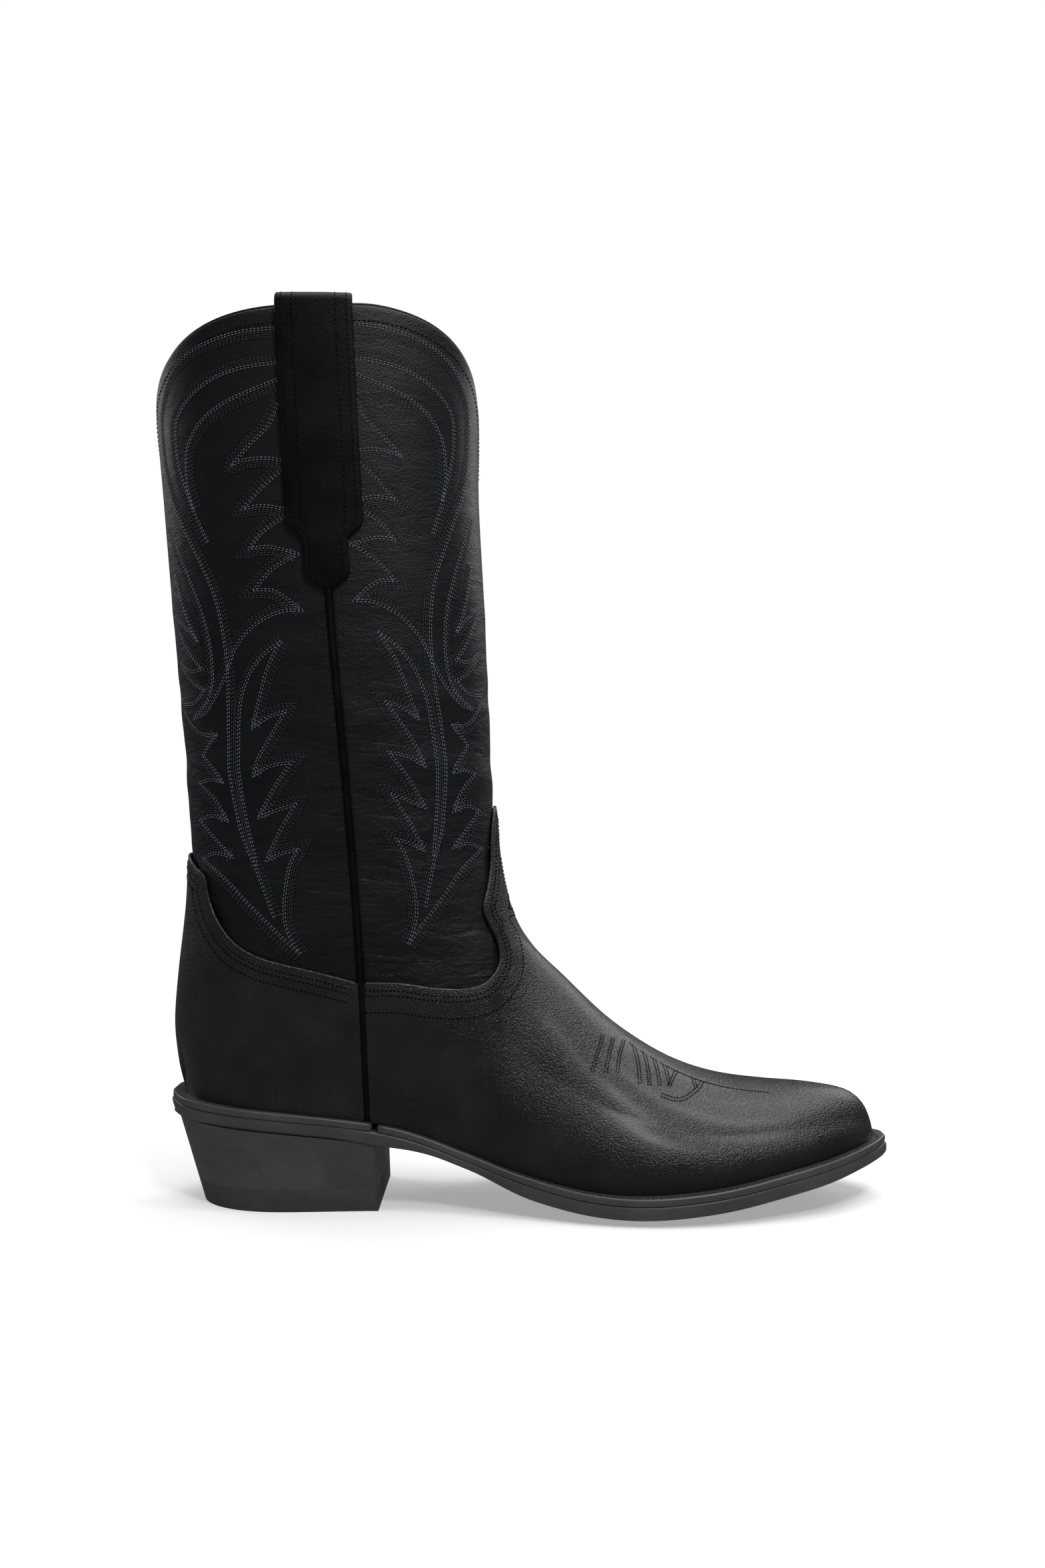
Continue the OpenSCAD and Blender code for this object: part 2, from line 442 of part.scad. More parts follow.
module forepart_filler() {
    xs = eased_range(10, 128, 10);
    color(CORK) slab(sole_grid(xs, 14, function(x, k) sole_top(x) - 0.3),
        sole_grid(xs, 14, function(x, k) sole_top(x) - welt_t + 0.2));
}
SHANK_T = 1.3;
module steel_shank() {
    xs = eased_range(-105, 0, 10);
    function row(low) = [for (x = xs) [for (k = [-1, 1]) [x, 8 * k, sole_top(x) - low]]];
    color(STEEL) slab(row(0.9), row(0.9 + SHANK_T));
}
INSOLE_INSET = -FOOT_LINED[0] + 0.6;
INSOLE_LIFT = 0.8; // from the welt to the insole
function insole_grid(raise) = [for (x = eased_range(FEATHER_BACK + INSOLE_INSET + 4, FEATHER_TIP - INSOLE_INSET - 3, 24))
    [for (k = ACROSS) let (side = k < 0 ? OUTER : INNER)
    [x, k * max(2, feather_half(x, side) - INSOLE_INSET * min(1.6, 1 + 0.6 * ease((abs(x) - 120) / 20))),
        sole_top(x) + raise]]];
module insole() { color(CORK) slab(insole_grid(INSOLE_LIFT + insole_t), insole_grid(INSOLE_LIFT)); }
module sock_liner() {
    low = INSOLE_LIFT + insole_t + 0.2;
    color(LINING) slab(insole_grid(low + sock_t), insole_grid(low));
}
PEG_ROWS = [[4.5, 0], [9, 4]]; // inset from the edge, offset along the row
PEG_FIT = 0.03; // clearance round a peg or a nail
module shank_pegs(fit = 0) {
    color(PEG_WOOD) for (side = [OUTER, INNER], row = PEG_ROWS, i = [0 : 8]) {
        x = -52 + row[1] + 8 * i;
        translate([x, side * (outline(x, side) - row[0]), outsole_low(x, 1) - 0.2 - fit])
            cylinder(h = outsole_at(x) - 0.3 + 2 * fit, r = peg_r + fit, $fn = 24);
    }
}

// ---- heel ----
HEEL_TOP = 38; // height at which the heel has the outline of the sole
BOTTOM_BACK = -136;
TOP_BACK = -147.2;
HEEL_BREAST_TOP = -61;
HEEL_BREAST_LOW = -59.4;
HEEL_CORNER = 37;
function heel_back_x(z) = mix(BOTTOM_BACK, TOP_BACK, z / HEEL_TOP);
function heel_breast_x(z) = mix(HEEL_BREAST_LOW, HEEL_BREAST_TOP, z / HEEL_TOP);
function heel_side(x, z, side) = let (back = heel_back_x(z), w = mix(heel_half_width, outline(BREAST_X - 25, side), z / HEEL_TOP))
    max(2, w * rounded(1 - (x - back) / HEEL_CORNER) * (1 - 0.06 * ease((x + 100) / 40)));
function heel_grid(z_of) = [for (i = [0 : 14]) [for (k = ACROSS)
    let (s = 0.02 + 0.98 * i / 14, z0 = z_of(BREAST_X), x0 = mix(heel_back_x(z0), heel_breast_x(z0), s * s),
        z = z_of(x0), x = mix(heel_back_x(z), heel_breast_x(z), s * s), side = k < 0 ? OUTER : INNER)
    [x, k * heel_side(x, z, side), z]]];
LIFT_GAP = 0.1;
WEDGE_LOW = 25.6; // underside of the wedge, just below the outsole at the breast
lift_t = (WEDGE_LOW - cap_t) / lift_count;
module heel_layer(high_of, low_of) {
    difference() {
        slab(heel_grid(high_of), heel_grid(low_of));
        heel_nails(PEG_FIT);
        cap_nails(PEG_FIT);
    }
}
module heel_cap() { color(RUBBER) heel_layer(function(x) cap_t - LIFT_GAP, function(x) 0); }
module heel_lift(n) {
    low = cap_t + (n - 1) * lift_t;
    color(SOLE_EDGE) heel_layer(function(x) low + lift_t - LIFT_GAP, function(x) low);
}
module heel_wedge() {
    color(SOLE_EDGE) heel_layer(function(x) outsole_low(x, 1) - LIFT_GAP, function(x) WEDGE_LOW);
}
// Lasting nails hold the stack to the outsole, and short cap nails hold the cap to the lowest lift
NAILS = [[-128, 0], [-118, 17], [-118, -17], [-98, 21], [-98, -21], [-76, 19], [-76, -19]];
NAIL_LENGTH = 20;
module heel_nails(fit = 0) {
    color(STEEL) for (p = NAILS) translate([p[0], p[1], cap_t + 3 - fit])
        cylinder(h = NAIL_LENGTH + 2 * fit, r = nail_r + fit, $fn = 24);
}
CAP_NAILS = [[-126, 10], [-126, -10], [-109, 21], [-109, -21], [-87, 22], [-87, -22], [-68, 13], [-68, -13]];
CAP_NAIL_SINK = 0.6;
CAP_NAIL_LENGTH = 13;
module cap_nails(fit = 0) {
    color(STEEL) for (p = CAP_NAILS) translate([p[0], p[1], 0]) {
        // a fit also opens the recess below the head
        translate([0, 0, fit > 0 ? -1 : CAP_NAIL_SINK])
            cylinder(h = 1.2 + (fit > 0 ? CAP_NAIL_SINK + 1 + fit : 0), r = 2 + fit, $fn = 24);
        translate([0, 0, CAP_NAIL_SINK]) cylinder(h = CAP_NAIL_LENGTH + fit, r = 0.9 + fit, $fn = 24);
    }
}

heel_cap();
heel_lift(1);  // heel_lift_1
heel_lift(2);  // heel_lift_2
heel_lift(3);  // heel_lift_3
heel_wedge();
heel_nails();
cap_nails();
outsole();
welt();
welt_thread();
heel_rand();
forepart_filler();
steel_shank();
shank_pegs();
insole();
sock_liner();
toe_box();
heel_counter();
vamp();
counter_cover();
vamp_lining();
heel_lining();
piping(OUTER);  // piping_outer
piping(INNER);  // piping_inner
shaft_front();
shaft_back();
lining_front();
lining_back();
pull_strap(OUTER);  // pull_strap_outer
pull_strap(INNER);  // pull_strap_inner
rim_bead();
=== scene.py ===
"""A black western riding boot: an add-on that builds each part round the loaded frame."""

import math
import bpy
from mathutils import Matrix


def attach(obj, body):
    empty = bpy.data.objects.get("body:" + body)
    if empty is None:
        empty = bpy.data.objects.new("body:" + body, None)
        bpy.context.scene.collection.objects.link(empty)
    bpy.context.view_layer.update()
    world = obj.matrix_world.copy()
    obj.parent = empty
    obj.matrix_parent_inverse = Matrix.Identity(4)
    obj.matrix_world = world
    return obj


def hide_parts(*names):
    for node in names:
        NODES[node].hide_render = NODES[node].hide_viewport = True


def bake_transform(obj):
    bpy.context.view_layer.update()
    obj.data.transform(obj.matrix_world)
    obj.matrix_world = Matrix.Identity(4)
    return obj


bl_info = {
    "name": "Western riding boot",
    "version": (1, 0, 0),
    "blender": (4, 5, 0),
    "location": "3D View > Sidebar > Boot",
    "description": "Builds a stitched western boot, its sole, heel, lining and studio",
    "category": "Object",
}

import bmesh
import bpy
import numpy as np
from bpy.props import FloatProperty, FloatVectorProperty, PointerProperty
from mathutils import Vector
from mathutils.geometry import delaunay_2d_cdt

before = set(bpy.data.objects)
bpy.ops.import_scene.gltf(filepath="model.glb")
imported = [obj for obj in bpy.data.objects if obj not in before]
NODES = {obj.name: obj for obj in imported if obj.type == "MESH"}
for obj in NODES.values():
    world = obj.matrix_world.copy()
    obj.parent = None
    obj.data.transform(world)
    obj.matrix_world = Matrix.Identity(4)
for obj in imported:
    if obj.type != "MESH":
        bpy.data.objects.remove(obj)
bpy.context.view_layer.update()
MM = 0.001
OUTER = -1.0
INNER = 1.0

# ---------------------------------------------------------------- the last's shape, in millimetres
HEEL_BACK = -149.6
TOE_TIP = 156.0
FEATHER_BACK = -143.0
FEATHER_TIP = 149.2
RIM = 367.0
FRONT_DIP = 54.0
BACK_DIP = 59.0
FRONT_RISE = 1.6
BACK_LINE = [[-143, 46], [-146.2, 58], [-147.7, 75], [-146.4, 95], [-143.2, 125], [-142.6, 145],
             [-143.5, 165], [-145.5, 195], [-149.9, 245], [-154, 295], [-157.6, 340], [-157.6, 380]]
FRONT_LINE = [[149.2, 26], [148.4, 31.5], [145, 38.8], [137.8, 43.8], [122, 46.4], [104, 47.6],
              [86, 49.8], [69.5, 54.5], [53.6, 62.4], [35.4, 75.2], [17.2, 92.5], [3.5, 106],
              [-5, 120.5], [-10.2, 142], [-12.2, 168], [-13.9, 205], [-15.8, 250], [-18.4, 300],
              [-18, 340], [-17.8, 380]]
SEAM_LINE = [[-64, 30], [-66, 95], [-71.5, 175], [-78, 255], [-84.5, 380]]
SOLE_TOP = [[-149.6, 46.5], [-117, 43], [-77, 38.6], [-50, 34], [-23, 25], [0, 17.6], [25, 12.6],
            [50, 11.4], [80, 13.8], [110, 18.6], [135, 22.6], [156, 26.4]]
COUNTER_TOP = [[-67.7, 94.6], [-85.5, 99.2], [-97, 101.8], [-109, 105], [-119.5, 110.5],
               [-127.5, 119.5], [-132, 129], [-134.2, 137.2], [-139, 141], [-144.1, 146]]
VAMP_TOP = [[-64.4, 94.6], [-50, 94.2], [-36, 92], [-24, 91.4], [-15.5, 93.6], [-10.4, 99],
            [-9.2, 105], [-11, 112.5], [-14.4, 119.5], [-16, 125], [-14.6, 132], [-13.4, 141],
            [-13.2, 152], [-12.3, 166]]
OUTER_PLAN = [[-149.6, 4], [-146.8, 14], [-139, 25], [-121, 32.6], [-95, 33.5], [-60, 31.5],
              [-30, 33], [0, 41], [30, 50], [54, 53], [80, 50.5], [104, 43.5], [125, 34],
              [141, 22.5], [151, 12.2], [156, 3]]
INNER_PLAN = [[-149.6, 4], [-146.8, 14], [-139, 25], [-121, 32.6], [-95, 33], [-60, 28.5],
              [-25, 25.5], [5, 32.5], [36, 46], [64, 53], [86, 51.5], [108, 44.5], [127, 34.5],
              [142, 22.5], [151.4, 12.2], [156, 3]]
SHAFT_HALF = [[40, 29.4], [60, 31.5], [80, 33.5], [100, 35.2], [120, 36], [150, 37.5], [200, 41.5],
              [260, 45.35], [330, 47], [400, 47]]
BACK_ROUND = [[40, 36], [60, 40], [95, 52], [130, 64], [180, 67], [400, 70]]
FRONT_ROUND = [[40, 100], [95, 92], [115, 78], [130, 69], [180, 67], [400, 70]]
FULLNESS = [[-60, 1.6], [0, 1.55], [30, 1.6], [60, 1.85], [90, 2], [148, 2]]
FRONT_TUCK = [[0, 148], [0.17, 131], [0.3, 116], [0.42, 95], [0.52, 86], [0.7, 80.5], [1, 83]]
BACK_TUCK = [[0, 134], [0.35, 124], [0.5, 104], [0.7, 92], [1, 84]]
ROUNDNESS = 2.15
UPPER_SHARE = 0.87
BULGE = 2.0
SEAM_EDGE = 1.7
FAN = 0.3
COVER = (0.0, 1.4)
MIDDLE = (-2.0, -0.5)
LINED = (-3.4, -2.5)
FOOT_LINED = (-4.5, -3.6)
TUCK_SINK = 0.8
TUCK_HEIGHT = 34.0


def unit(v):
    """Rows of v at length one."""
    return v / np.maximum(1e-12, np.linalg.norm(v, axis=-1, keepdims=True))


def mix(a, b, k):
    """From a to b by share k."""
    return a + (b - a) * k


def ease(k):
    """A smooth step from 0 to 1."""
    c = np.clip(k, 0, 1)
    return c * c * (3 - 2 * c)


def smooth(points, n=20):
    """A round line through points, n steps from each to the next."""
    p = np.array(points, float)
    last = len(p) - 1
    t = np.arange(n)[:, None] / n
    made = []
    for i in range(last):
        a, b, c, d = p[max(i - 1, 0)], p[i], p[min(i + 1, last)], p[min(i + 2, last)]
        made.append(0.5 * (2 * b + (c - a) * t + (2 * a - 5 * b + 4 * c - d) * t ** 2
                           + (3 * b - a - 3 * c + d) * t ** 3))
    return np.vstack(made + [p[-1:]])


def reader(points, key=0, value=1):
    """A function that reads one column of a line against another."""
    p = points[np.argsort(points[:, key], kind="stable")]
    return lambda at: np.interp(at, p[:, key], p[:, value])


BACK = smooth(BACK_LINE)
FRONT = smooth(FRONT_LINE)
back_x = reader(BACK, 1, 0)
front_x = reader(FRONT, 1, 0)
seam_x = reader(smooth(SEAM_LINE), 1, 0)
sole_top = reader(smooth(SOLE_TOP))
outer_plan = reader(smooth(OUTER_PLAN))
inner_plan = reader(smooth(INNER_PLAN))
front_height = reader(FRONT[FRONT[:, 1] < 168])
shaft_width = reader(smooth(SHAFT_HALF))
back_round = reader(smooth(BACK_ROUND))
front_round = reader(smooth(FRONT_ROUND))
fullness = reader(smooth(FULLNESS))
front_tuck = reader(smooth(FRONT_TUCK))
back_tuck = reader(smooth(BACK_TUCK))


def plan(x, side):
    """Half width of the sole at x, on one side."""
    return np.where(np.asarray(side) < 0, outer_plan(x), inner_plan(x))


def ridge_height(x):
    """Height of the instep's ridge; above the throat it counts as far away."""
    return np.where(x < -13, 166 + (-13 - x) * 12, front_height(x))


def feather_half(x, side):
    """Half width of the upper where it meets the welt."""
    sole_x = HEEL_BACK + (x - FEATHER_BACK) * (TOE_TIP - HEEL_BACK) / (FEATHER_TIP - FEATHER_BACK)
    return UPPER_SHARE * plan(sole_x, side)


def feather_z(x):
    """Height of the line where the upper meets the welt."""
    return sole_top(x) + 0.4


def rounded(e):
    """Side of a full oval that is one wide at 0 and closes at 1."""
    e = np.clip(e, 0, 1)
    return np.maximum(0, 1 - e ** ROUNDNESS) ** (1 / ROUNDNESS)


def half_width(x, z, side):
    """Half width of the upper at a point of its side view."""
    share = ease((x + 45) / 50) * (1 - ease((z - 100) / 50))
    feather = feather_half(x, side)
    low = feather_z(x)
    shaft = (shaft_width(z) * rounded(1 - (x - back_x(z)) / back_round(z))
             * rounded(1 - (front_x(z) - x) / front_round(z)))
    heel = mix(feather, shaft, ease((z - low) / 30))
    r = np.clip((z - low) / np.maximum(0.1, ridge_height(x) - low), 0, 1)
    foot = ((feather + BULGE * np.sin(np.pi * np.minimum(1, 2 * r)))
            * np.sqrt(np.maximum(0, 1 - r ** fullness(x))))
    return mix(heel, foot, share)


def upper_point(x, z, side):
    """Point of the upper surface over a point of its side view."""
    x, z = np.broadcast_arrays(np.asarray(x, float), np.asarray(z, float))
    return np.stack([x, side * half_width(x, z, side), z], axis=-1)


def by_length(points):
    """A function that reads a line against the share of its length."""
    p = np.array(points, float)
    run = np.concatenate([[0], np.cumsum(np.linalg.norm(np.diff(p, axis=0), axis=1))])
    run /= run[-1]
    return lambda t: np.stack([np.interp(t, run, p[:, i]) for i in range(p.shape[1])], axis=-1)


def line_between(line, z0, z1):
    """The part of a side view line from height z0 to z1, by length."""
    read = reader(line, 1, 0)
    z = np.concatenate([[z0], line[(line[:, 1] > z0) & (line[:, 1] < z1), 1], [z1]])
    return by_length(np.stack([read(z), z], axis=-1))


class Surface:
    """A grid of points on a sheet of leather, read at any pair of its two coordinates."""

    def __init__(self, u, v, points, way=1.0):
        """way is -1 where the sheet's outside is on the left of its rows."""
        self.u, self.v, self.points, self.way = u, v, points, way
        across = np.gradient(points, u, axis=0)
        up = np.gradient(points, v, axis=1)
        self.normals = way * unit(np.cross(across, up))

    def read(self, grid, u, v):
        """A grid's values between its nodes."""
        i = np.clip(np.interp(u, self.u, np.arange(len(self.u))), 0, len(self.u) - 1.000001)
        j = np.clip(np.interp(v, self.v, np.arange(len(self.v))), 0, len(self.v) - 1.000001)
        i0, j0 = i.astype(int), j.astype(int)
        fi, fj = (i - i0)[..., None], (j - j0)[..., None]
        return ((grid[i0, j0] * (1 - fi) + grid[i0 + 1, j0] * fi) * (1 - fj)
                + (grid[i0, j0 + 1] * (1 - fi) + grid[i0 + 1, j0 + 1] * fi) * fj)

    def at(self, u, v, off=0.0):
        """Points at an offset along the outward normal."""
        u, v = np.broadcast_arrays(np.asarray(u, float), np.asarray(v, float))
        off = np.asarray(off, float)
        return self.read(self.points, u, v) + self.out(u, v) * (off[..., None] if off.ndim else off)

    def out(self, u, v):
        """Outward normals."""
        u, v = np.broadcast_arrays(np.asarray(u, float), np.asarray(v, float))
        return unit(self.read(self.normals, u, v))


def foot_surface(bottom, top, seam, middle, way, size=(241, 181)):
    """The upper between four side view lines.

    Column a is -1 at the outer seam, 0 in the middle and 1 at the inner seam.
    """
    a = np.linspace(-1, 1, size[0])
    t = np.linspace(0, 1, size[1])
    q = np.cos(np.pi / 2 * a)[:, None]
    q = np.where(np.abs(a)[:, None] < 1e-9, 1.0, q)
    row = t[None, :]
    qq, tt = np.broadcast_arrays(q, row)
    q3, t3 = qq[..., None], tt[..., None]
    side_view = ((1 - t3) * bottom(qq) + t3 * top(qq) + (1 - q3) * seam(tt) + q3 * middle(tt)
                 - (1 - q3) * ((1 - t3) * bottom(0.0) + t3 * top(0.0))
                 - q3 * ((1 - t3) * bottom(1.0) + t3 * top(1.0)))
    side = np.where(a < 0, OUTER, INNER)[:, None]
    points = upper_point(side_view[..., 0], side_view[..., 1], side)
    points[size[0] // 2, :, 1] = 0
    return Surface(a, t, points, way)


def feather_line(x0, x1, fan):
    """Side view of the welt line from x0 to x1, its steps longer towards x0 by fan."""
    q = np.linspace(0, 1, 200)
    x = mix(x0, x1, 1 - (1 - q) * (1 - q + fan) / (1 + fan)) if fan else mix(x0, x1, q)
    z = feather_z(x)
    return lambda at: np.stack([np.interp(at, q, x), np.interp(at, q, z)], axis=-1)


def seam_between(dx, z0, z1):
    """Side view of the side seam, moved by dx."""
    z = np.linspace(z0, z1, 60)
    return by_length(np.stack([seam_x(z) + dx, z], axis=-1))


VAMP_FOOT = float(seam_x(40)) + SEAM_EDGE
COUNTER_FOOT = float(seam_x(40)) - SEAM_EDGE
CHART_SEAM_TOP = 126.0
CHART_RIDGE_TOP = 182.0


def vamp_surface():
    """The forepart's surface, a little higher than the vamp so that its edge lies inside."""
    low_corner = [float(seam_x(CHART_SEAM_TOP)) + SEAM_EDGE, CHART_SEAM_TOP]
    high_corner = [float(front_x(CHART_RIDGE_TOP)), CHART_RIDGE_TOP]
    top = by_length([mix(np.array(low_corner), np.array(high_corner), k) for k in np.linspace(0, 1, 20)])
    return foot_surface(feather_line(VAMP_FOOT, FEATHER_TIP, FAN), top,
                        seam_between(SEAM_EDGE, float(feather_z(VAMP_FOOT)), CHART_SEAM_TOP),
                        line_between(FRONT, float(feather_z(FEATHER_TIP)), CHART_RIDGE_TOP), 1.0)


def counter_surface():
    """The heel's surface, up to the counter's top edge."""
    return foot_surface(feather_line(COUNTER_FOOT, FEATHER_BACK, 0), by_length(smooth(COUNTER_TOP)),
                        seam_between(-SEAM_EDGE, float(feather_z(COUNTER_FOOT)), COUNTER_TOP[0][1]),
                        line_between(BACK, float(feather_z(FEATHER_BACK)), COUNTER_TOP[-1][1]), -1.0,
                        (181, 121))


def shaft_side(front, a, z):
    """x of the shaft at column a and height z."""
    b, f = back_x(z), front_x(z)
    middle, half = (b + f) / 2, (f - b) / 2
    edge = np.arcsin((seam_x(z) + (SEAM_EDGE if front else -SEAM_EDGE) - middle) / half)
    return middle + half * np.sin(mix(np.pi / 2 if front else -np.pi / 2, edge, np.abs(a)))


def shaft_surface(front):
    """Front or back half of the shaft's surface against column and height."""
    a = np.linspace(-1, 1, 201)
    z = np.arange(70, 384.5, 1.5)
    x = shaft_side(front, a[:, None], z[None, :])
    points = upper_point(x, np.broadcast_to(z, x.shape), np.where(a < 0, OUTER, INNER)[:, None])
    points[100, :, 1] = 0
    surface = Surface(a, z, points, 1.0 if front else -1.0)
    return surface


def rim_z(front, a):
    """Height of the rim at column a."""
    k = 1 - np.abs(a)
    if front:
        dip = (FRONT_DIP + FRONT_RISE) * (0.62 * k ** 2.6 + 0.38 * k ** 16)
        return RIM + FRONT_RISE * ease(k / 0.25) - dip
    return RIM - BACK_DIP * (0.74 * k ** 2.35 + 0.26 * k ** 16)


VAMP = vamp_surface()
COUNTER = counter_surface()
SHAFT = {True: shaft_surface(True), False: shaft_surface(False)}


# ---------------------------------------------------------------- meshes from sheets
def rolled(thick, steps=6):
    """An edge profile rolled through half a turn: outward reach and share of the way down."""
    turns = [math.pi * k / steps for k in range(1, steps)]
    return [(thick / 2 * math.sin(t), (1 - math.cos(t)) / 2) for t in turns]


def bevelled(thick, radius, steps=3):
    """An edge profile with a flat wall between two small rounds."""
    turns = [math.pi / 2 * k / steps for k in range(1, steps + 1)]
    over = [(radius * math.sin(t), radius * (1 - math.cos(t)) / thick) for t in turns]
    return over + [(d, 1 - w) for d, w in reversed(over)]


def shell(base, normals, faces, loop, low, high, profile, cut=None):
    """Points and faces of a closed solid between two offsets of a sheet, its edge following a profile."""
    low = np.broadcast_to(np.asarray(low, float), len(base))
    high = np.broadcast_to(np.asarray(high, float), len(base))
    count = len(base)
    top = base + normals * high[:, None]
    bottom = base + normals * low[:, None]
    ring = np.array(loop)
    tangent = unit(np.roll(base[ring], -1, axis=0) - np.roll(base[ring], 1, axis=0))
    away = unit(np.cross(tangent, normals[ring]))
    if cut is not None:
        bottom[ring] -= away * cut[:, None]
    rings = []
    for reach, down in profile:
        drawn = reach - (cut * down if cut is not None else 0)
        edge = base[ring] + normals[ring] * mix(high[ring], low[ring], down)[:, None]
        rings.append(edge + away * (drawn[:, None] if cut is not None else drawn))
    points = np.vstack([top, bottom] + rings)
    made = [tuple(f) for f in faces] + [tuple(count + i for i in reversed(f)) for f in faces]
    n = len(ring)
    levels = [ring] + [2 * count + k * n + np.arange(n) for k in range(len(rings))] + [count + ring]
    for above, under in zip(levels[:-1], levels[1:]):
        for i in range(n):
            j = (i + 1) % n
            made.append((above[j], above[i], under[i], under[j]))
    return points, made


def grid_faces(rows, cols, way=1.0):
    """Faces and boundary of a grid of rows by cols points, turned over where way is -1."""
    at = np.arange(rows * cols).reshape(rows, cols)
    quads = np.stack([at[:-1, :-1], at[1:, :-1], at[1:, 1:], at[:-1, 1:]], axis=-1).reshape(-1, 4)
    loop = np.concatenate([at[:, 0], at[-1, 1:], at[-2::-1, -1], at[0, -2:0:-1]])
    if way < 0:
        return quads[:, ::-1].tolist(), loop[::-1]
    return quads.tolist(), loop


def add_mesh(name, points, faces, material, smooth_faces=True):
    """A new object from points in millimetres."""
    mesh = bpy.data.meshes.new(name)
    mesh.from_pydata((np.asarray(points) * MM).tolist(), [], [tuple(int(i) for i in f) for f in faces])
    mesh.validate()
    mesh.update()
    if smooth_faces:
        mesh.polygons.foreach_set("use_smooth", [True] * len(mesh.polygons))
    made = bpy.data.objects.new(name, mesh)
    bpy.context.scene.collection.objects.link(made)
    mesh.materials.append(material)
    if volume(mesh) < 0:
        raise RuntimeError(f"{name} is inside out")
    return made


def volume(mesh):
    """Signed volume, positive where the faces point outwards."""
    b = bmesh.new()
    b.from_mesh(mesh)
    found = b.calc_volume(signed=True)
    b.free()
    return found


def follow(made, body, nodes):
    """Rides a piece on foot or shaft, or for bend pieces bakes it where it stands without a body, in place
    of its CAD nodes.
    """
    if body == "bend":
        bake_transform(made)
    else:
        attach(made, body)
    if nodes:
        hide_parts(*nodes)
    return made


def sheet_piece(name, surface, u, v, low, high, material, profile=None):
    """A shell over a grid of a surface's coordinates; low and high are offsets, one or many."""
    uu, vv = np.broadcast_arrays(u, v)
    base = surface.at(uu, vv).reshape(-1, 3)
    out = surface.out(uu, vv).reshape(-1, 3)
    faces, loop = grid_faces(*uu.shape, surface.way)
    low = np.broadcast_to(low, uu.shape).reshape(-1)
    high = np.broadcast_to(high, uu.shape).reshape(-1)
    thick = float(np.mean(high - low))
    points, faces = shell(base, out, faces, loop, low, high, profile or rolled(thick))
    return add_mesh(name, points, faces, material)


def tube(name, centres, radius, material, sides=14, closed=False):
    """A round tube along points."""
    n = len(centres)
    if closed:
        way = unit(np.roll(centres, -1, axis=0) - np.roll(centres, 1, axis=0))
    else:
        way = unit(np.gradient(centres, axis=0))
    u = unit(np.cross(way, np.array([0.13, 0.35, 1.0])))
    v = np.cross(way, u)
    turn = 2 * np.pi * np.arange(sides) / sides
    rings = centres[:, None] + radius * (u[:, None] * np.cos(turn)[None, :, None]
                                         + v[:, None] * np.sin(turn)[None, :, None])
    last = n if closed else n - 1
    faces = []
    for i in range(last):
        for k in range(sides):
            a, b = i * sides + k, i * sides + (k + 1) % sides
            c, d = (i + 1) % n * sides + (k + 1) % sides, (i + 1) % n * sides + k
            faces.append((a, b, c, d))
    points = rings.reshape(-1, 3)
    if not closed:
        dome = radius * 0.6
        points = np.vstack([points, centres[0] - way[0] * dome, centres[-1] + way[-1] * dome])
        for k in range(sides):
            m = (k + 1) % sides
            faces.append((len(points) - 2, m, k))
            faces.append((len(points) - 1, (n - 1) * sides + k, (n - 1) * sides + m))
    return add_mesh(name, points, faces, material)


# ---------------------------------------------------------------- materials
class Value:
    """A socket, or number, that takes part in sums."""

    def __init__(self, tree, socket):
        self.tree, self.socket = tree, socket

    def _math(self, operation, *others):
        node = self.tree.nodes.new("ShaderNodeMath")
        node.operation = operation
        for i, value in enumerate([self, *others]):
            connect(self.tree, value, node.inputs[i])
        return Value(self.tree, node.outputs[0])

    def __add__(self, other):
        return self._math("ADD", other)

    __radd__ = __add__

    def __mul__(self, other):
        return self._math("MULTIPLY", other)

    __rmul__ = __mul__

    def __sub__(self, other):
        return self._math("SUBTRACT", other)

    def __rsub__(self, other):
        return (self * -1) + other


def connect(tree, value, socket):
    """Links a Value to a socket, or sets a plain one."""
    if isinstance(value, Value):
        tree.links.new(value.socket, socket)
    else:
        socket.default_value = value


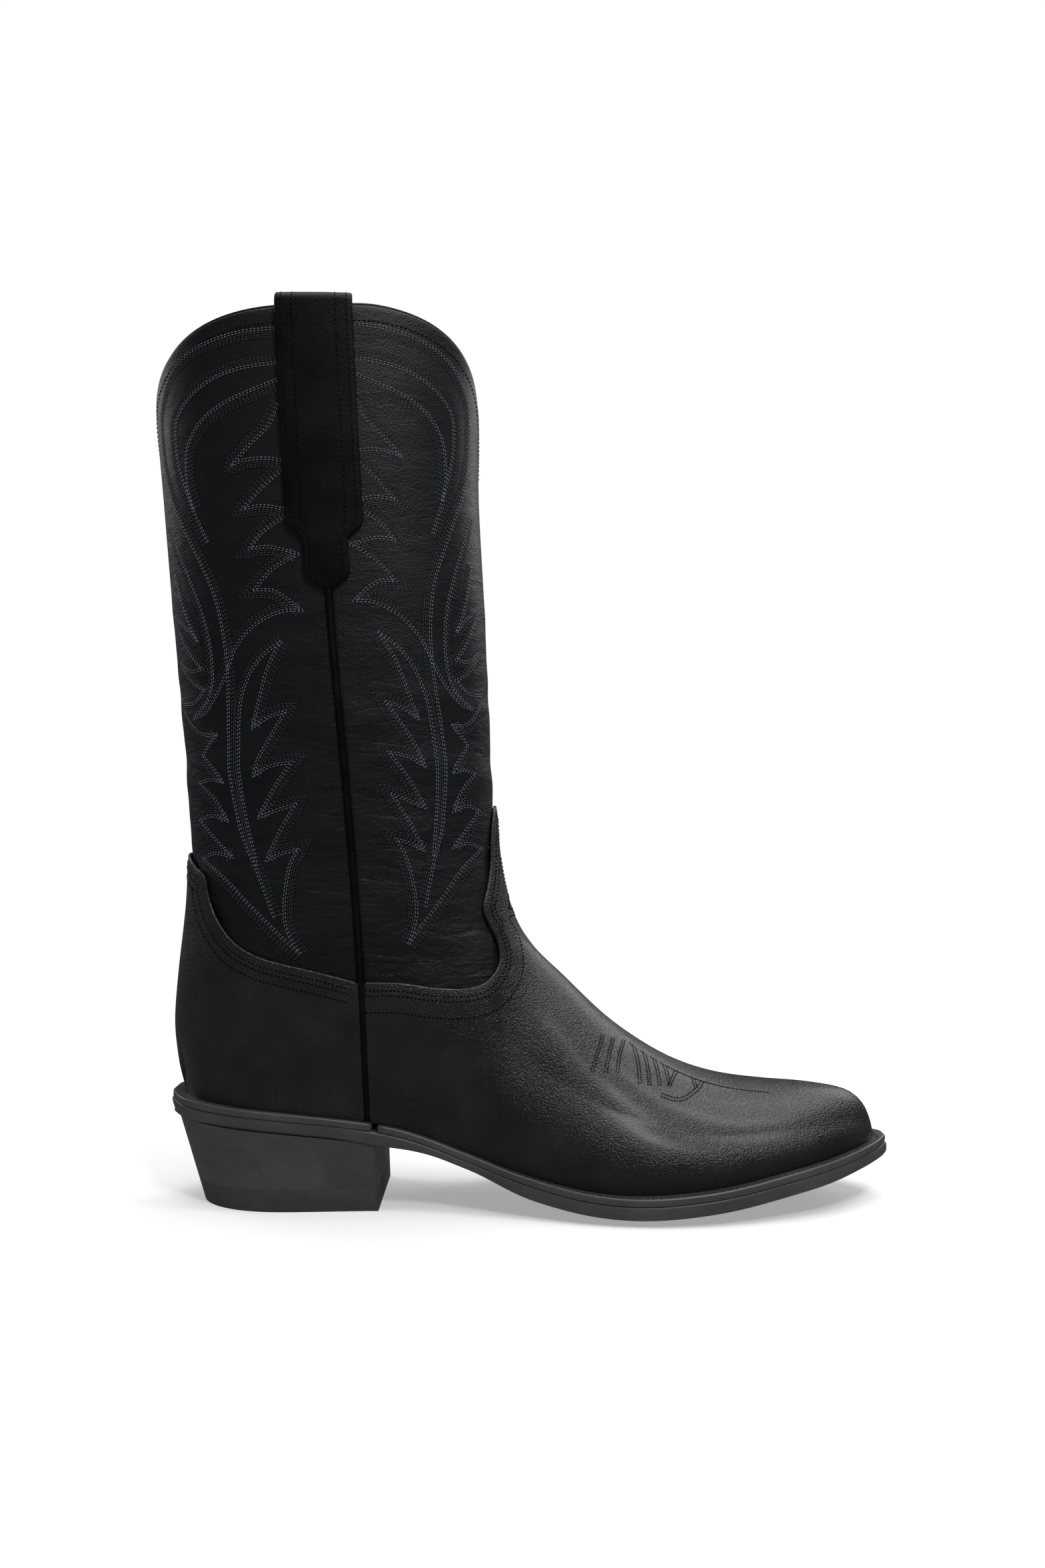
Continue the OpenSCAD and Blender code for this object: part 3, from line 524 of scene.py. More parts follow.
class Finish:
    """A material under construction."""

    def __init__(self, name):
        self.material = bpy.data.materials.new(name)
        self.material.use_nodes = True
        self.tree = self.material.node_tree
        self.tree.nodes.clear()
        self.shader = self.tree.nodes.new("ShaderNodeBsdfPrincipled")
        end = self.tree.nodes.new("ShaderNodeOutputMaterial")
        self.tree.links.new(self.shader.outputs[0], end.inputs[0])
        self.place = self.node("ShaderNodeTexCoord", {}, {}, "Object")

    def node(self, kind, settings, sockets, output=0):
        """Adds a node: settings first, then sockets; gives back one output."""
        made = self.tree.nodes.new(kind)
        for key, value in settings.items():
            setattr(made, key, value)
        for key, value in sockets.items():
            connect(self.tree, value, made.inputs[key])
        return Value(self.tree, made.outputs[output])

    def between(self, value, low, high):
        """value from low to high stretched to 0 to 1."""
        return self.node("ShaderNodeMapRange", {"clamp": True},
                         {"Value": value, "From Min": low, "From Max": high})

    def stretched(self, scale, turn=(0, 0, 0)):
        """The place on the object, scaled per axis."""
        return self.node("ShaderNodeMapping", {}, {"Vector": self.place, "Scale": scale, "Rotation": turn})

    def noise(self, scale, detail=3.0, vector=None, roughness=0.5, distortion=0.0):
        """Noise on the object's own place."""
        return self.node("ShaderNodeTexNoise", {"noise_dimensions": "3D"},
                         {"Vector": vector or self.place, "Scale": scale, "Detail": detail,
                          "Roughness": roughness, "Distortion": distortion})

    def cells(self, scale, vector=None, feature="F1", smoothness=0.5):
        """Distance field of scattered cells."""
        sockets = {"Vector": vector or self.place, "Scale": scale}
        if feature == "SMOOTH_F1":
            sockets["Smoothness"] = smoothness
        return self.node("ShaderNodeTexVoronoi", {"feature": feature}, sockets)

    def blended(self, share, a, b):
        """Mix of two colours."""
        made = self.tree.nodes.new("ShaderNodeMix")
        made.data_type = "RGBA"
        connect(self.tree, share, made.inputs[0])
        for socket, colour in ((made.inputs[6], a), (made.inputs[7], b)):
            connect(self.tree, colour if isinstance(colour, Value) else (*colour, 1.0), socket)
        return Value(self.tree, made.outputs[2])

    def bump(self, height, distance, strength=1.0, under=None):
        """Relief from a height from 0 to 1, distance metres deep."""
        sockets = {"Height": height, "Distance": distance, "Strength": strength}
        if under:
            sockets["Normal"] = under
        return self.node("ShaderNodeBump", {}, sockets)

    def surface(self, **values):
        """Sets or links the shader's sockets; a name's underscores stand for spaces."""
        for key, value in values.items():
            if isinstance(value, tuple):
                value = (*value, 1.0)
            connect(self.tree, value, self.shader.inputs[key.replace("_", " ")])
        return self.material


def grain_leather(name, colour, pebble, depth, roughness, gloss):
    """Tumbled cowhide: pebbles, the grooves between them darkened with painted shade, and soft rubbed
    patches.
    """
    f = Finish(name)
    drift = f.noise(60.0, 2.0)
    stray = f.node("ShaderNodeTexNoise", {}, {"Vector": f.place, "Scale": 420.0, "Detail": 1.0}, "Color")
    wavy = f.node("ShaderNodeVectorMath", {"operation": "MULTIPLY_ADD"},
                  {0: stray, 1: (0.0005, 0.0005, 0.0005), 2: f.place})
    pebbles = f.cells(pebble, wavy, "SMOOTH_F1", 0.35)
    small = f.cells(pebble * 2.1, wavy, "SMOOTH_F1", 0.3)
    fine = f.noise(2600.0, 2.0)
    height = 1.0 - (pebbles * 0.85) - (small * 0.32) + fine * 0.12
    patches = f.between(drift, 0.35, 0.68)
    # Painted shade: the grooves between the pebbles are darkened in colour as if shade fell in them; they
    # are also rougher.
    shaded_grooves = f.between(pebbles, 0.45, 0.75)
    dark = tuple(c * 0.62 for c in colour)
    worn = tuple(c * 1.35 + 0.002 for c in colour)
    base = f.blended(shaded_grooves * 0.6, f.blended(patches, colour, worn), dark)
    rough = (roughness - 0.06) + patches * 0.07 + shaded_grooves * 0.12 + fine * 0.05
    folds = f.noise(34.0, 3.0, f.stretched((1.0, 1.0, 2.2)))
    relief = f.bump(height, depth, 1.0, f.bump(folds, 0.0008, 0.5))
    return f.surface(Base_Color=base, Roughness=rough, Normal=relief, Specular_IOR_Level=gloss,
                     Coat_Weight=gloss * 0.3, Coat_Roughness=0.22)


def shaft_leather(name, colour, roughness):
    """Smoother leather with fine level creases, the crease valleys darkened with painted shade, more so low
    on the shaft.
    """
    f = Finish(name)
    zone = f.between(f.node("ShaderNodeSeparateXYZ", {}, {"Vector": f.place}, "Z"), 0.32, 0.15)
    folds = f.noise(95.0, 3.0, f.stretched((0.7, 0.7, 2.1)), 0.5, 0.9)
    wrinkles = f.noise(300.0, 4.0, f.stretched((0.7, 0.7, 1.6)), 0.6, 0.8)
    soft = f.noise(26.0, 2.0, f.stretched((1.0, 1.0, 1.7)))
    cells = f.cells(1500.0, None, "SMOOTH_F1", 0.4)
    fine = f.noise(3200.0, 2.0)
    patches = f.between(soft, 0.35, 0.7)
    # Painted shade: colour darkened along the valleys of the folds and wrinkles, weighted towards the low
    # zone of the shaft.
    crease_shade = f.between(folds * 0.6 + wrinkles * 0.4, 0.40, 0.52)
    low = tuple(c * 0.7 for c in colour)
    high = tuple(c * 1.35 for c in colour)
    base = f.blended(crease_shade * (zone * 0.6 + 0.4), low, f.blended(patches, colour, high))
    rough = (roughness - 0.04) + patches * 0.06 + fine * 0.07
    relief = f.bump(folds * (zone * 0.7 + 0.3), 0.0014, 0.5, f.bump(soft, 0.0014, 0.6))
    relief = f.bump(wrinkles * (zone * 0.5 + 0.5), 0.00042, 0.6, relief)
    relief = f.bump(cells * -0.7 + fine * 0.35, 0.00020, 0.9, relief)
    return f.surface(Base_Color=base, Roughness=rough, Normal=relief, Specular_IOR_Level=0.42,
                     Coat_Weight=0.05, Coat_Roughness=0.30)


def lining_leather(name, colour):
    """Undyed lining: fine nap and darker rubbed places."""
    f = Finish(name)
    patches = f.between(f.noise(22.0, 4.0), 0.35, 0.7)
    nap = f.noise(1800.0, 3.0, f.stretched((1, 1, 0.5)))
    base = f.blended(patches * 0.55, colour, tuple(c * 0.7 for c in colour))
    return f.surface(Base_Color=f.blended(nap * 0.3, base, tuple(c * 0.55 for c in colour)),
                     Roughness=0.62 + nap * 0.2, Normal=f.bump(nap, 0.00015, 0.8))


def edge_finish(name, colour, roughness, layers):
    """Burnished and painted leather edge, with the faint levels of its layers."""
    f = Finish(name)
    levels = f.noise(260.0, 2.0, f.stretched((0.05, 0.05, 1.0)))
    rub = f.between(f.noise(45.0, 3.0), 0.4, 0.7)
    specks = f.between(f.noise(900.0, 2.0), 0.62, 0.72)
    base = f.blended(rub * 0.5, colour, tuple(c * 1.6 + 0.003 for c in colour))
    base = f.blended(specks * 0.25, base, tuple(c * 2.4 + 0.01 for c in colour))
    rough = roughness + rub * 0.10 + levels * 0.06
    return f.surface(Base_Color=base, Roughness=rough, Coat_Weight=0.12, Coat_Roughness=0.3,
                     Normal=f.bump(levels * layers + specks * 0.12, 0.0003, 0.7))


def sole_bottom(name, edge, tan, low_edge):
    """Sole leather: painted edge, stained underside."""
    f = Finish(name)
    under = f.node("ShaderNodeAttribute", {"attribute_type": "GEOMETRY", "attribute_name": "under"}, {},
                   "Fac")
    fibre = f.noise(700.0, 4.0, f.stretched((0.4, 1.0, 1.0)))
    stain = f.between(f.noise(30.0, 4.0), 0.3, 0.75)
    leather = f.blended(stain * 0.5, tan, tuple(c * 0.62 for c in tan))
    leather = f.blended(fibre * 0.35, leather, tuple(c * 0.5 for c in tan))
    rub = f.between(f.noise(45.0, 3.0), 0.4, 0.7)
    painted = f.blended(rub * 0.5, edge, tuple(c * 1.6 + 0.003 for c in edge))
    levels = f.noise(260.0, 2.0, f.stretched((0.05, 0.05, 1.0)))
    return f.surface(Base_Color=f.blended(under, painted, leather),
                     Roughness=0.40 + under * 0.2 + rub * 0.08,
                     Normal=f.bump(levels * 0.35 + fibre * 0.3, 0.0003, 0.6 * low_edge),
                     Coat_Weight=0.10, Coat_Roughness=0.3)


def rubber(name, colour):
    """Moulded rubber with a fine matt grain."""
    f = Finish(name)
    grain = f.cells(1300.0)
    dust = f.between(f.noise(60.0, 4.0), 0.45, 0.75)
    return f.surface(Base_Color=f.blended(dust * 0.45, colour, tuple(c * 1.8 + 0.01 for c in colour)),
                     Roughness=0.5 + dust * 0.15, Normal=f.bump(grain, 0.0001, 0.7))


def thread_finish(name, colour, gloss=0.5):
    """Twisted waxed thread; the dark beads of painted shade between the embroidery rows use it too."""
    f = Finish(name)
    strands = f.noise(3500.0, 2.0)
    shade = f.noise(90.0, 2.0)
    base = f.blended(strands * 0.4, colour, tuple(c * 0.6 for c in colour))
    base = f.blended(f.between(shade, 0.4, 0.65) * 0.3, base, tuple(min(1, c * 1.35) for c in colour))
    return f.surface(Base_Color=base, Roughness=0.45 + strands * 0.15, Normal=f.bump(strands, 0.0001, 0.8),
                     Specular_IOR_Level=gloss)


def grained(name, light, dark, scale, roughness, relief):
    """Cork, wood and stiffened board: flecked with a second shade."""
    f = Finish(name)
    flecks = f.between(f.cells(scale), 0.15, 0.6)
    cloud = f.noise(scale * 0.35, 4.0)
    return f.surface(Base_Color=f.blended(flecks * 0.7, f.blended(cloud, light, dark), dark),
                     Roughness=roughness + cloud * 0.1, Normal=f.bump(flecks, relief, 0.8))


def steel(name):
    """Rolled spring steel with light scratches."""
    f = Finish(name)
    scratches = f.noise(900.0, 3.0, f.stretched((0.08, 1.0, 1.0)))
    return f.surface(Base_Color=f.blended(scratches, (0.52, 0.52, 0.54), (0.36, 0.36, 0.38)), Metallic=1.0,
                     Roughness=0.28 + scratches * 0.22, Normal=f.bump(scratches, 0.0001, 0.5))


MADE = {}


def finish_of(name):
    """A finish by name, made once."""
    if name not in MADE:
        c = bpy.context.scene.boot_colours
        recipes = {
            "foot_leather": lambda: grain_leather("foot_leather", tuple(c.foot), 1450.0, 0.00026, 0.28,
                                                  0.5),
            "shaft_leather": lambda: shaft_leather("shaft_leather", tuple(c.shaft), 0.46),
            "trim_leather": lambda: grain_leather("trim_leather", tuple(c.trim), 1700.0, 0.00012, 0.42,
                                                  0.14),
            "lining": lambda: lining_leather("lining", tuple(c.lining)),
            "edge": lambda: edge_finish("edge", tuple(c.edge), 0.36, 0.35),
            "outsole": lambda: sole_bottom("outsole", tuple(c.edge), tuple(c.sole), 1.0),
            "rubber": lambda: rubber("rubber", tuple(c.rubber)),
            "light_thread": lambda: thread_finish("light_thread", tuple(c.light_thread)),
            "dark_thread_and_shade": lambda: thread_finish("dark_thread_and_shade", tuple(c.dark_thread_and_shade), 0.06),
            "tonal_thread": lambda: thread_finish("tonal_thread", tuple(c.tonal_thread)),
            "welt_thread_finish": lambda: thread_finish("welt_thread_finish", (0.014, 0.013, 0.012)),
            "cork": lambda: grained("cork", (0.42, 0.26, 0.13), (0.20, 0.11, 0.05), 700.0, 0.8, 0.0003),
            "board": lambda: grained("board", (0.36, 0.25, 0.15), (0.26, 0.17, 0.10), 1400.0, 0.75, 0.0001),
            "wood": lambda: grained("wood", (0.62, 0.44, 0.22), (0.44, 0.28, 0.12), 1600.0, 0.6, 0.0001),
            "steel": lambda: steel("steel"),
        }
        MADE[name] = recipes[name]()
    return MADE[name]


# ---------------------------------------------------------------- places on the sheets
def locate(surface, x, z, side):
    """Column and row of the surface over side view points, on one side."""
    x, z = np.atleast_1d(np.asarray(x, float)), np.atleast_1d(np.asarray(z, float))
    half = surface.u * side >= 0
    q_axis = np.cos(np.pi / 2 * surface.u[half])
    grid = surface.points[half][::4, ::4]
    q_grid = np.repeat(q_axis[::4, None], grid.shape[1], axis=1).ravel()
    t_grid = np.repeat(surface.v[None, ::4], grid.shape[0], axis=0).ravel()
    flat = grid[..., [0, 2]].reshape(-1, 2)
    target = np.stack([x, z], axis=-1)
    nearest = np.argmin(((flat[None] - target[:, None]) ** 2).sum(-1), axis=1)
    q, t = q_grid[nearest].copy(), t_grid[nearest].copy()

    def view(q, t):
        a = side * 2 / np.pi * np.arccos(np.clip(q, 0, 1))
        return surface.at(a, t)[..., [0, 2]]

    h = 1e-3
    for _ in range(12):
        miss = target - view(q, t)
        dq = np.where(q > 0.5, -h, h)
        dt = np.where(t > 0.5, -h, h)
        jq = (view(q + dq, t) - view(q, t)) / dq[:, None]
        jt = (view(q, t + dt) - view(q, t)) / dt[:, None]
        det = jq[:, 0] * jt[:, 1] - jq[:, 1] * jt[:, 0]
        det = np.where(np.abs(det) < 1e-6, 1e-6, det)
        q = np.clip(q + 0.8 * (miss[:, 0] * jt[:, 1] - miss[:, 1] * jt[:, 0]) / det, 0, 1)
        t = np.clip(t + 0.8 * (jq[:, 0] * miss[:, 1] - jq[:, 1] * miss[:, 0]) / det, 0, 1)
    return side * 2 / np.pi * np.arccos(q), t


def evened(points, step):
    """A line through points again, at equal steps of about step."""
    run = np.concatenate([[0], np.cumsum(np.linalg.norm(np.diff(points, axis=0), axis=1))])
    count = max(2, int(round(run[-1] / step)) + 1)
    at = np.linspace(0, run[-1], count)
    return np.stack([np.interp(at, run, points[:, i]) for i in range(points.shape[1])], axis=-1)


class VampShape:
    """The vamp's outline in its surface's coordinates, and a mesh of what lies inside it."""

    def __init__(self):
        line = evened(smooth(VAMP_TOP), 1.2)
        a, t = locate(VAMP, line[:, 0], line[:, 1], OUTER)
        a[0], a[-1] = -1.0, 0.0
        self.half_top = np.stack([a, t], axis=-1)
        self.top = np.vstack([self.half_top, (self.half_top * [-1, 1])[-2::-1]])

    def mesh(self, step):
        """Base points, normals, faces, boundary and distance from the top edge."""
        wide, tall = 100.0, 120.0
        low = np.linspace(0, self.top[0, 1], max(3, int(self.top[0, 1] * tall / step)))[:-1]
        left = np.stack([-np.ones_like(low), low], axis=-1)
        bottom_a = np.linspace(1, -1, int(2 * wide / step) + 1)[:-1]
        bottom = np.stack([bottom_a, np.zeros_like(bottom_a)], axis=-1)
        right = (left * [-1, 1])[::-1]
        keep = np.arange(0, len(self.half_top) - 1, max(1, int(round(step / 0.9))))
        half = self.half_top[keep]
        top = np.vstack([half, [[0.0, self.half_top[-1, 1]]], (half * [-1, 1])[::-1]])
        edge = np.vstack([bottom, left, top[:-1], top[-1:], right[:-1] if len(right) > 1 else right])
        edge = edge[np.concatenate([[True], np.linalg.norm(np.diff(edge, axis=0), axis=1) > 1e-6])]
        scale = np.array([wide, tall])
        ring = edge * scale
        # across the sheet in steps, kept clear of the outline
        across = np.arange(-wide + step, wide - step / 2, step)
        up = np.arange(step, tall, step)
        inner = np.stack(np.meshgrid(across, up, indexing="ij"), axis=-1).reshape(-1, 2)
        inner = inner[inside(ring, inner)]
        clear = np.array([np.min(((ring - p) ** 2).sum(-1)) for p in inner]) > (0.62 * step) ** 2
        inner = inner[clear]
        every = [Vector(p) for p in np.vstack([ring, inner])]
        n = len(ring)
        made = delaunay_2d_cdt(every, [(i, (i + 1) % n) for i in range(n)], [], 1, 1e-6)
        flat = np.array([list(v) for v in made[0]]) / scale
        faces = [list(f) for f in made[2]]
        for f in faces:
            (ax, ay), (bx, by), (cx, cy) = flat[f[0]], flat[f[1]], flat[f[2]]
            if (bx - ax) * (cy - ay) - (by - ay) * (cx - ax) < 0:
                f.reverse()
        loop = outline_of(faces)
        base = VAMP.at(flat[:, 0], flat[:, 1])
        out = VAMP.out(flat[:, 0], flat[:, 1])
        top_points = VAMP.at(self.top[:, 0], self.top[:, 1])
        away = np.array([np.sqrt(np.min(((top_points - p) ** 2).sum(-1))) for p in base])
        return base, out, faces, loop, away


def inside(ring, points):
    """Which points lie inside a closed outline."""
    x, y = points[:, 0][:, None], points[:, 1][:, None]
    x0, y0 = ring[:, 0][None], ring[:, 1][None]
    x1, y1 = np.roll(ring[:, 0], -1)[None], np.roll(ring[:, 1], -1)[None]
    crosses = ((y0 > y) != (y1 > y)) & (x < (x1 - x0) * (y - y0) / np.where(y1 == y0, 1e-12, y1 - y0) + x0)
    return crosses.sum(axis=1) % 2 == 1


def outline_of(faces):
    """The boundary of a sheet of faces, in their own direction."""
    count = {}
    for f in faces:
        for i in range(len(f)):
            count[(f[i], f[(i + 1) % len(f)])] = True
    after = {a: b for a, b in count if (b, a) not in count}
    start = min(after)
    loop = [start]
    while after[loop[-1]] != start:
        loop.append(after[loop[-1]])
    if len(loop) != len(after):
        raise RuntimeError("the sheet has more than one boundary")
    return loop


VAMP_SHAPE = VampShape()
VAMP_COVER = 1.3


def vamp_top_skive(away):
    """Inner and outer offsets of the vamp and counter, thinned to the edge that is sewn to the shaft."""
    share = ease(away / 5)
    return mix(-0.55, COVER[0], share), mix(0.85, VAMP_COVER, share)


def build_vamp():
    """Vamp and its lining."""
    base, out, faces, loop, away = VAMP_SHAPE.mesh(1.3)
    low, high = vamp_top_skive(away)
    points, walls = shell(base, out, faces, loop, low, high, rolled(1.4))
    made = add_mesh("vamp_shown", points, walls, finish_of("foot_leather"))
    follow(made, "bend", ["vamp"])
    base, out, faces, loop, away = VAMP_SHAPE.mesh(2.6)
    points, walls = shell(base, out, faces, loop, FOOT_LINED[0], FOOT_LINED[1], rolled(0.9, 3))
    made = add_mesh("vamp_lining_shown", points, walls, finish_of("lining"))
    follow(made, "bend", ["vamp_lining"])
    a = np.linspace(-0.52, 0.52, 61)[:, None]
    t = np.linspace(0.01, 0.25, 31)[None]
    made = sheet_piece("toe_box_shown", VAMP, a, t, -1.9, -0.4, finish_of("board"))
    follow(made, "foot", ["toe_box"])


def build_counter():
    """Counter cover, the stiffener in it and its lining."""
    a = np.linspace(-1, 1, 141)[:, None]
    t = (np.linspace(0, 1, 76) ** 0.9)[None]
    edge = COUNTER.at(a, np.ones_like(t) + 0 * a)
    away = np.linalg.norm(COUNTER.at(a, t) - edge, axis=-1)
    low, high = vamp_top_skive(away)
    made = sheet_piece("counter_cover_shown", COUNTER, a, t, low, high, finish_of("foot_leather"),
                       rolled(1.4))
    follow(made, "bend", ["counter_cover"])
    a = np.linspace(-0.8, 0.8, 61)[:, None]
    t = np.linspace(0.01, 0.65, 31)[None]
    made = sheet_piece("heel_counter_shown", COUNTER, a, t, -1.9, -0.5, finish_of("board"))
    follow(made, "bend", ["heel_counter"])
    a = np.linspace(-1, 1, 81)[:, None]
    t = np.linspace(0, 0.93, 41)[None]
    made = sheet_piece("heel_lining_shown", COUNTER, a, t, FOOT_LINED[0], FOOT_LINED[1],
                       finish_of("lining"))
    follow(made, "bend", ["heel_lining"])


def shaft_low(front, a):
    """Height of the shaft leather's tucked lower edge at column a."""
    return (front_tuck if front else back_tuck)(np.abs(a))


def shaft_sink(front, a, z):
    """How far the shaft is drawn in under the vamp and counter."""
    return TUCK_SINK * (1 - ease((z - shaft_low(front, a)) / TUCK_HEIGHT))


def shaft_waves(a, z):
    """Slow folds of the shaft above the ankle, in millimetres."""
    ankle = ease((z - 96) / 30) * (1 - ease((z - 205) / 70))
    folds = (np.sin(z / 3.9 + 2.1 * np.sin(2.6 * a) + 0.7) + 0.7 * np.sin(z / 6.3 - 3.0 * a * a + 1.9 * a)
             + 0.5 * np.sin(z / 2.3 + 5.1 * a))
    return 0.16 * ankle * folds * (1 - ease((np.abs(a) - 0.93) / 0.07))


def build_shaft():
    """Front and back panels of the shaft and their linings."""
    for front, end in ((True, "front"), (False, "back")):
        surface = SHAFT[front]
        a = np.linspace(-1, 1, 161)[:, None]
        share = np.linspace(0, 1, 170)[None]
        z = mix(shaft_low(front, a), rim_z(front, a), share)
        off = shaft_waves(a, z) - shaft_sink(front, a, z)
        made = sheet_piece(f"shaft_{end}_shown", surface, a, z, off + MIDDLE[0], off + MIDDLE[1],
                           finish_of("shaft_leather"))
        follow(made, "bend", [f"shaft_{end}"])
        a = np.linspace(-1, 1, 101)[:, None]
        share = np.linspace(0, 1, 90)[None]
        z = mix(shaft_low(front, a) + 16, rim_z(front, a), share)
        off = shaft_waves(a, z) - shaft_sink(front, a, z)
        made = sheet_piece(f"lining_{end}_shown", surface, a, z, off + LINED[0], off + LINED[1],
                           finish_of("lining"))
        follow(made, "bend", [f"lining_{end}"])


STRAP_TIP = 255.0
STRAP_HALF_WIDTH = 15.5
STRAP_THICK = 1.9
STRAP_HALF = [[255, 1.6], [257, 4.6], [260.5, 9], [264, 9.4], [269, 8.8], [275, 9.1], [277.5, 11],
              [280, 14.7], [282, 15.5], [400, 15.5]]
STRAP_MIDDLE = (LINED[0] + MIDDLE[1]) / 2
STRAP_FOLD = 2.2 + STRAP_THICK / 2


def strap_half(z):
    """Half width of the strap at height z."""
    table = np.array(STRAP_HALF)
    return np.interp(z, table[:, 0], table[:, 1])


def strap_rows():
    """Heights and offsets of the strap's rows, over the rim and down the inside."""
    up = np.concatenate([np.arange(STRAP_TIP, 277, 0.8), np.arange(277, 283, 0.5),
                         np.arange(283, 365, 2.0)])
    rows = [(z, z, STRAP_MIDDLE + STRAP_FOLD) for z in up]
    for turn in np.linspace(0, np.pi, 17):
        rows.append((RIM - 2, RIM + 2.4 + STRAP_FOLD * np.sin(turn),
                     STRAP_MIDDLE + STRAP_FOLD * np.cos(turn)))
    for z in np.arange(363, 291, -3.0):
        rows.append((z, z, STRAP_MIDDLE - STRAP_FOLD))
    return rows


def strap_grid(side, cols):
    """Points of a strap's middle sheet, row by row, and its normals."""
    across = np.linspace(-1, 1, cols)
    grid = []
    for read_z, z, off in strap_rows():
        half = (strap_half(z) if off > 0 else STRAP_HALF_WIDTH) - STRAP_THICK / 2
        x = seam_x(read_z) + half * across
        p = upper_point(x, read_z, side)
        run = upper_point(x + 2, read_z, side) - upper_point(x - 2, read_z, side)
        rise = upper_point(x, read_z + 2, side) - upper_point(x, read_z - 2, side)
        p = p - side * off * unit(np.cross(run, rise))
        p[:, 2] = z
        grid.append(p)
    grid = np.array(grid)
    normals = -side * unit(np.cross(np.gradient(grid, axis=1), np.gradient(grid, axis=0)))
    return grid, normals


def build_trim():
    """Piping, rim bead and pull straps."""
    for side, word in ((OUTER, "outer"), (INNER, "inner")):
        z = np.linspace(float(feather_z(seam_x(40))) + 1.3, STRAP_TIP - 1, 260)
        line = upper_point(seam_x(z), z, side) + [0, side * 0.25, 0]
        made = tube(f"piping_{word}_shown", line, 1.3, finish_of("trim_leather"))
        follow(made, "bend", [f"piping_{word}"])
        grid, normals = strap_grid(side, 25)
        faces, loop = grid_faces(*grid.shape[:2], side)
        points, walls = shell(grid.reshape(-1, 3), normals.reshape(-1, 3), faces, loop,
                              -STRAP_THICK / 2, STRAP_THICK / 2, rolled(STRAP_THICK))
        made = add_mesh(f"pull_strap_{word}_shown", points, walls, finish_of("trim_leather"))
        follow(made, "shaft", [f"pull_strap_{word}"])
    turn = np.linspace(-1, 1, 181)
    columns = np.sign(turn) * np.abs(turn) ** 1.15
    front = SHAFT[True].at(columns, rim_z(True, columns), STRAP_MIDDLE)
    back = SHAFT[False].at(columns, rim_z(False, columns), STRAP_MIDDLE)
    rim = np.vstack([front, back[::-1]])
    rim = evened(np.vstack([rim, rim[:1]]), 2.0)[:-1]
    way = unit(np.roll(rim, -1, axis=0) - np.roll(rim, 1, axis=0))
    out = unit((rim - [-88, 0, 0]) * [1, 1, 0])
    lift = unit(np.cross(out, way))
    lift *= np.sign(lift[:, 2:])
    made = tube("rim_bead_shown", rim + 1.0 * lift, 0.9, finish_of("trim_leather"), 12, True)
    follow(made, "shaft", ["rim_bead"])


# ---------------------------------------------------------------- sole and heel
WELT_T = 3.0
WELT_GAP = 0.3
OUTSOLE_T = 5.4
CROWN = 2.6
BREAST_X = -61.0


def outsole_at(x):
    """Thickness of the outsole at its edge."""
    return (OUTSOLE_T - 2.4 * ease((x + 62) / 30) * (1 - ease((x + 22) / 28)) - 1.1 * ease((x - 118) / 36))


def outsole_low(x, k):
    """Underside of the outsole, k from -1 to 1 across it."""
    crowned = CROWN * ease((x + 25) / 55) * (1 - ease((x - 70) / 75))
    return sole_top(x) - WELT_T - WELT_GAP - outsole_at(x) - crowned * (1 - k * k)


def eased_range(x0, x1, n):
    """Places from x0 to x1, closer at both ends."""
    return mix(x0, x1, (1 - np.cos(np.pi * np.arange(n + 1) / n)) / 2)


def plan_grid(x, cols, inset):
    """Plan points across the sole at each x, inset from its outline."""
    k = np.linspace(-1, 1, cols)
    side = np.where(k < 0, OUTER, INNER)[None]
    half = np.maximum(1.5, plan(x[:, None], side) - inset)
    return np.stack(np.broadcast_arrays(x[:, None], k[None] * half), axis=-1), k


def build_outsole():
    """The outsole with its skived waist and crowned ball."""
    x = eased_range(HEEL_BACK + 1.0, TOE_TIP - 1.0, 150)
    flat, k = plan_grid(x, 21, 1.0)
    high = np.broadcast_to((sole_top(x) - WELT_T)[:, None], flat.shape[:2])
    low = outsole_low(x[:, None], k[None])
    base = np.concatenate([flat, np.zeros(flat.shape[:2] + (1,))], axis=-1).reshape(-1, 3)
    faces, loop = grid_faces(*flat.shape[:2])
    up = np.tile([0.0, 0, 1], (len(base), 1))
    seat = 1.6 * (1 - ease((base[loop][:, 0] + 80) / 20))
    edge = [(0.38, 0.03), (0.75, 0.1), (0.98, 0.25), (1.0, 0.5), (0.98, 0.75), (0.75, 0.92), (0.38, 0.98)]
    points, walls = shell(base, up, faces, loop, low.ravel(), high.ravel(), edge, seat)
    made = add_mesh("outsole_shown", points, walls, finish_of("outsole"))
    down = np.zeros(len(points) * 3, np.float32)
    made.data.vertex_normals.foreach_get("vector", down)
    under = made.data.attributes.new("under", "FLOAT", "POINT")
    under.data.foreach_set("value", np.clip((-down[2::3] - 0.55) / 0.3, 0, 1))
    follow(made, "foot", ["outsole"])


def sole_strip(x0, x1, count, narrow, shift):
    """Outer and inner lines of a strip round the toe or heel."""
    x = mix(x0, x1, np.sin(np.pi / 2 * np.arange(count + 1) / count))
    outer = np.stack([x, -outer_plan(x)], axis=-1)
    inner = np.stack([x, inner_plan(x)], axis=-1)[::-1]
    line = evened(np.vstack([outer, inner]), 2.0)
    return line, line * [1, narrow] + shift * np.stack([line[:, 0] - x0, 0 * line[:, 0]], axis=-1)


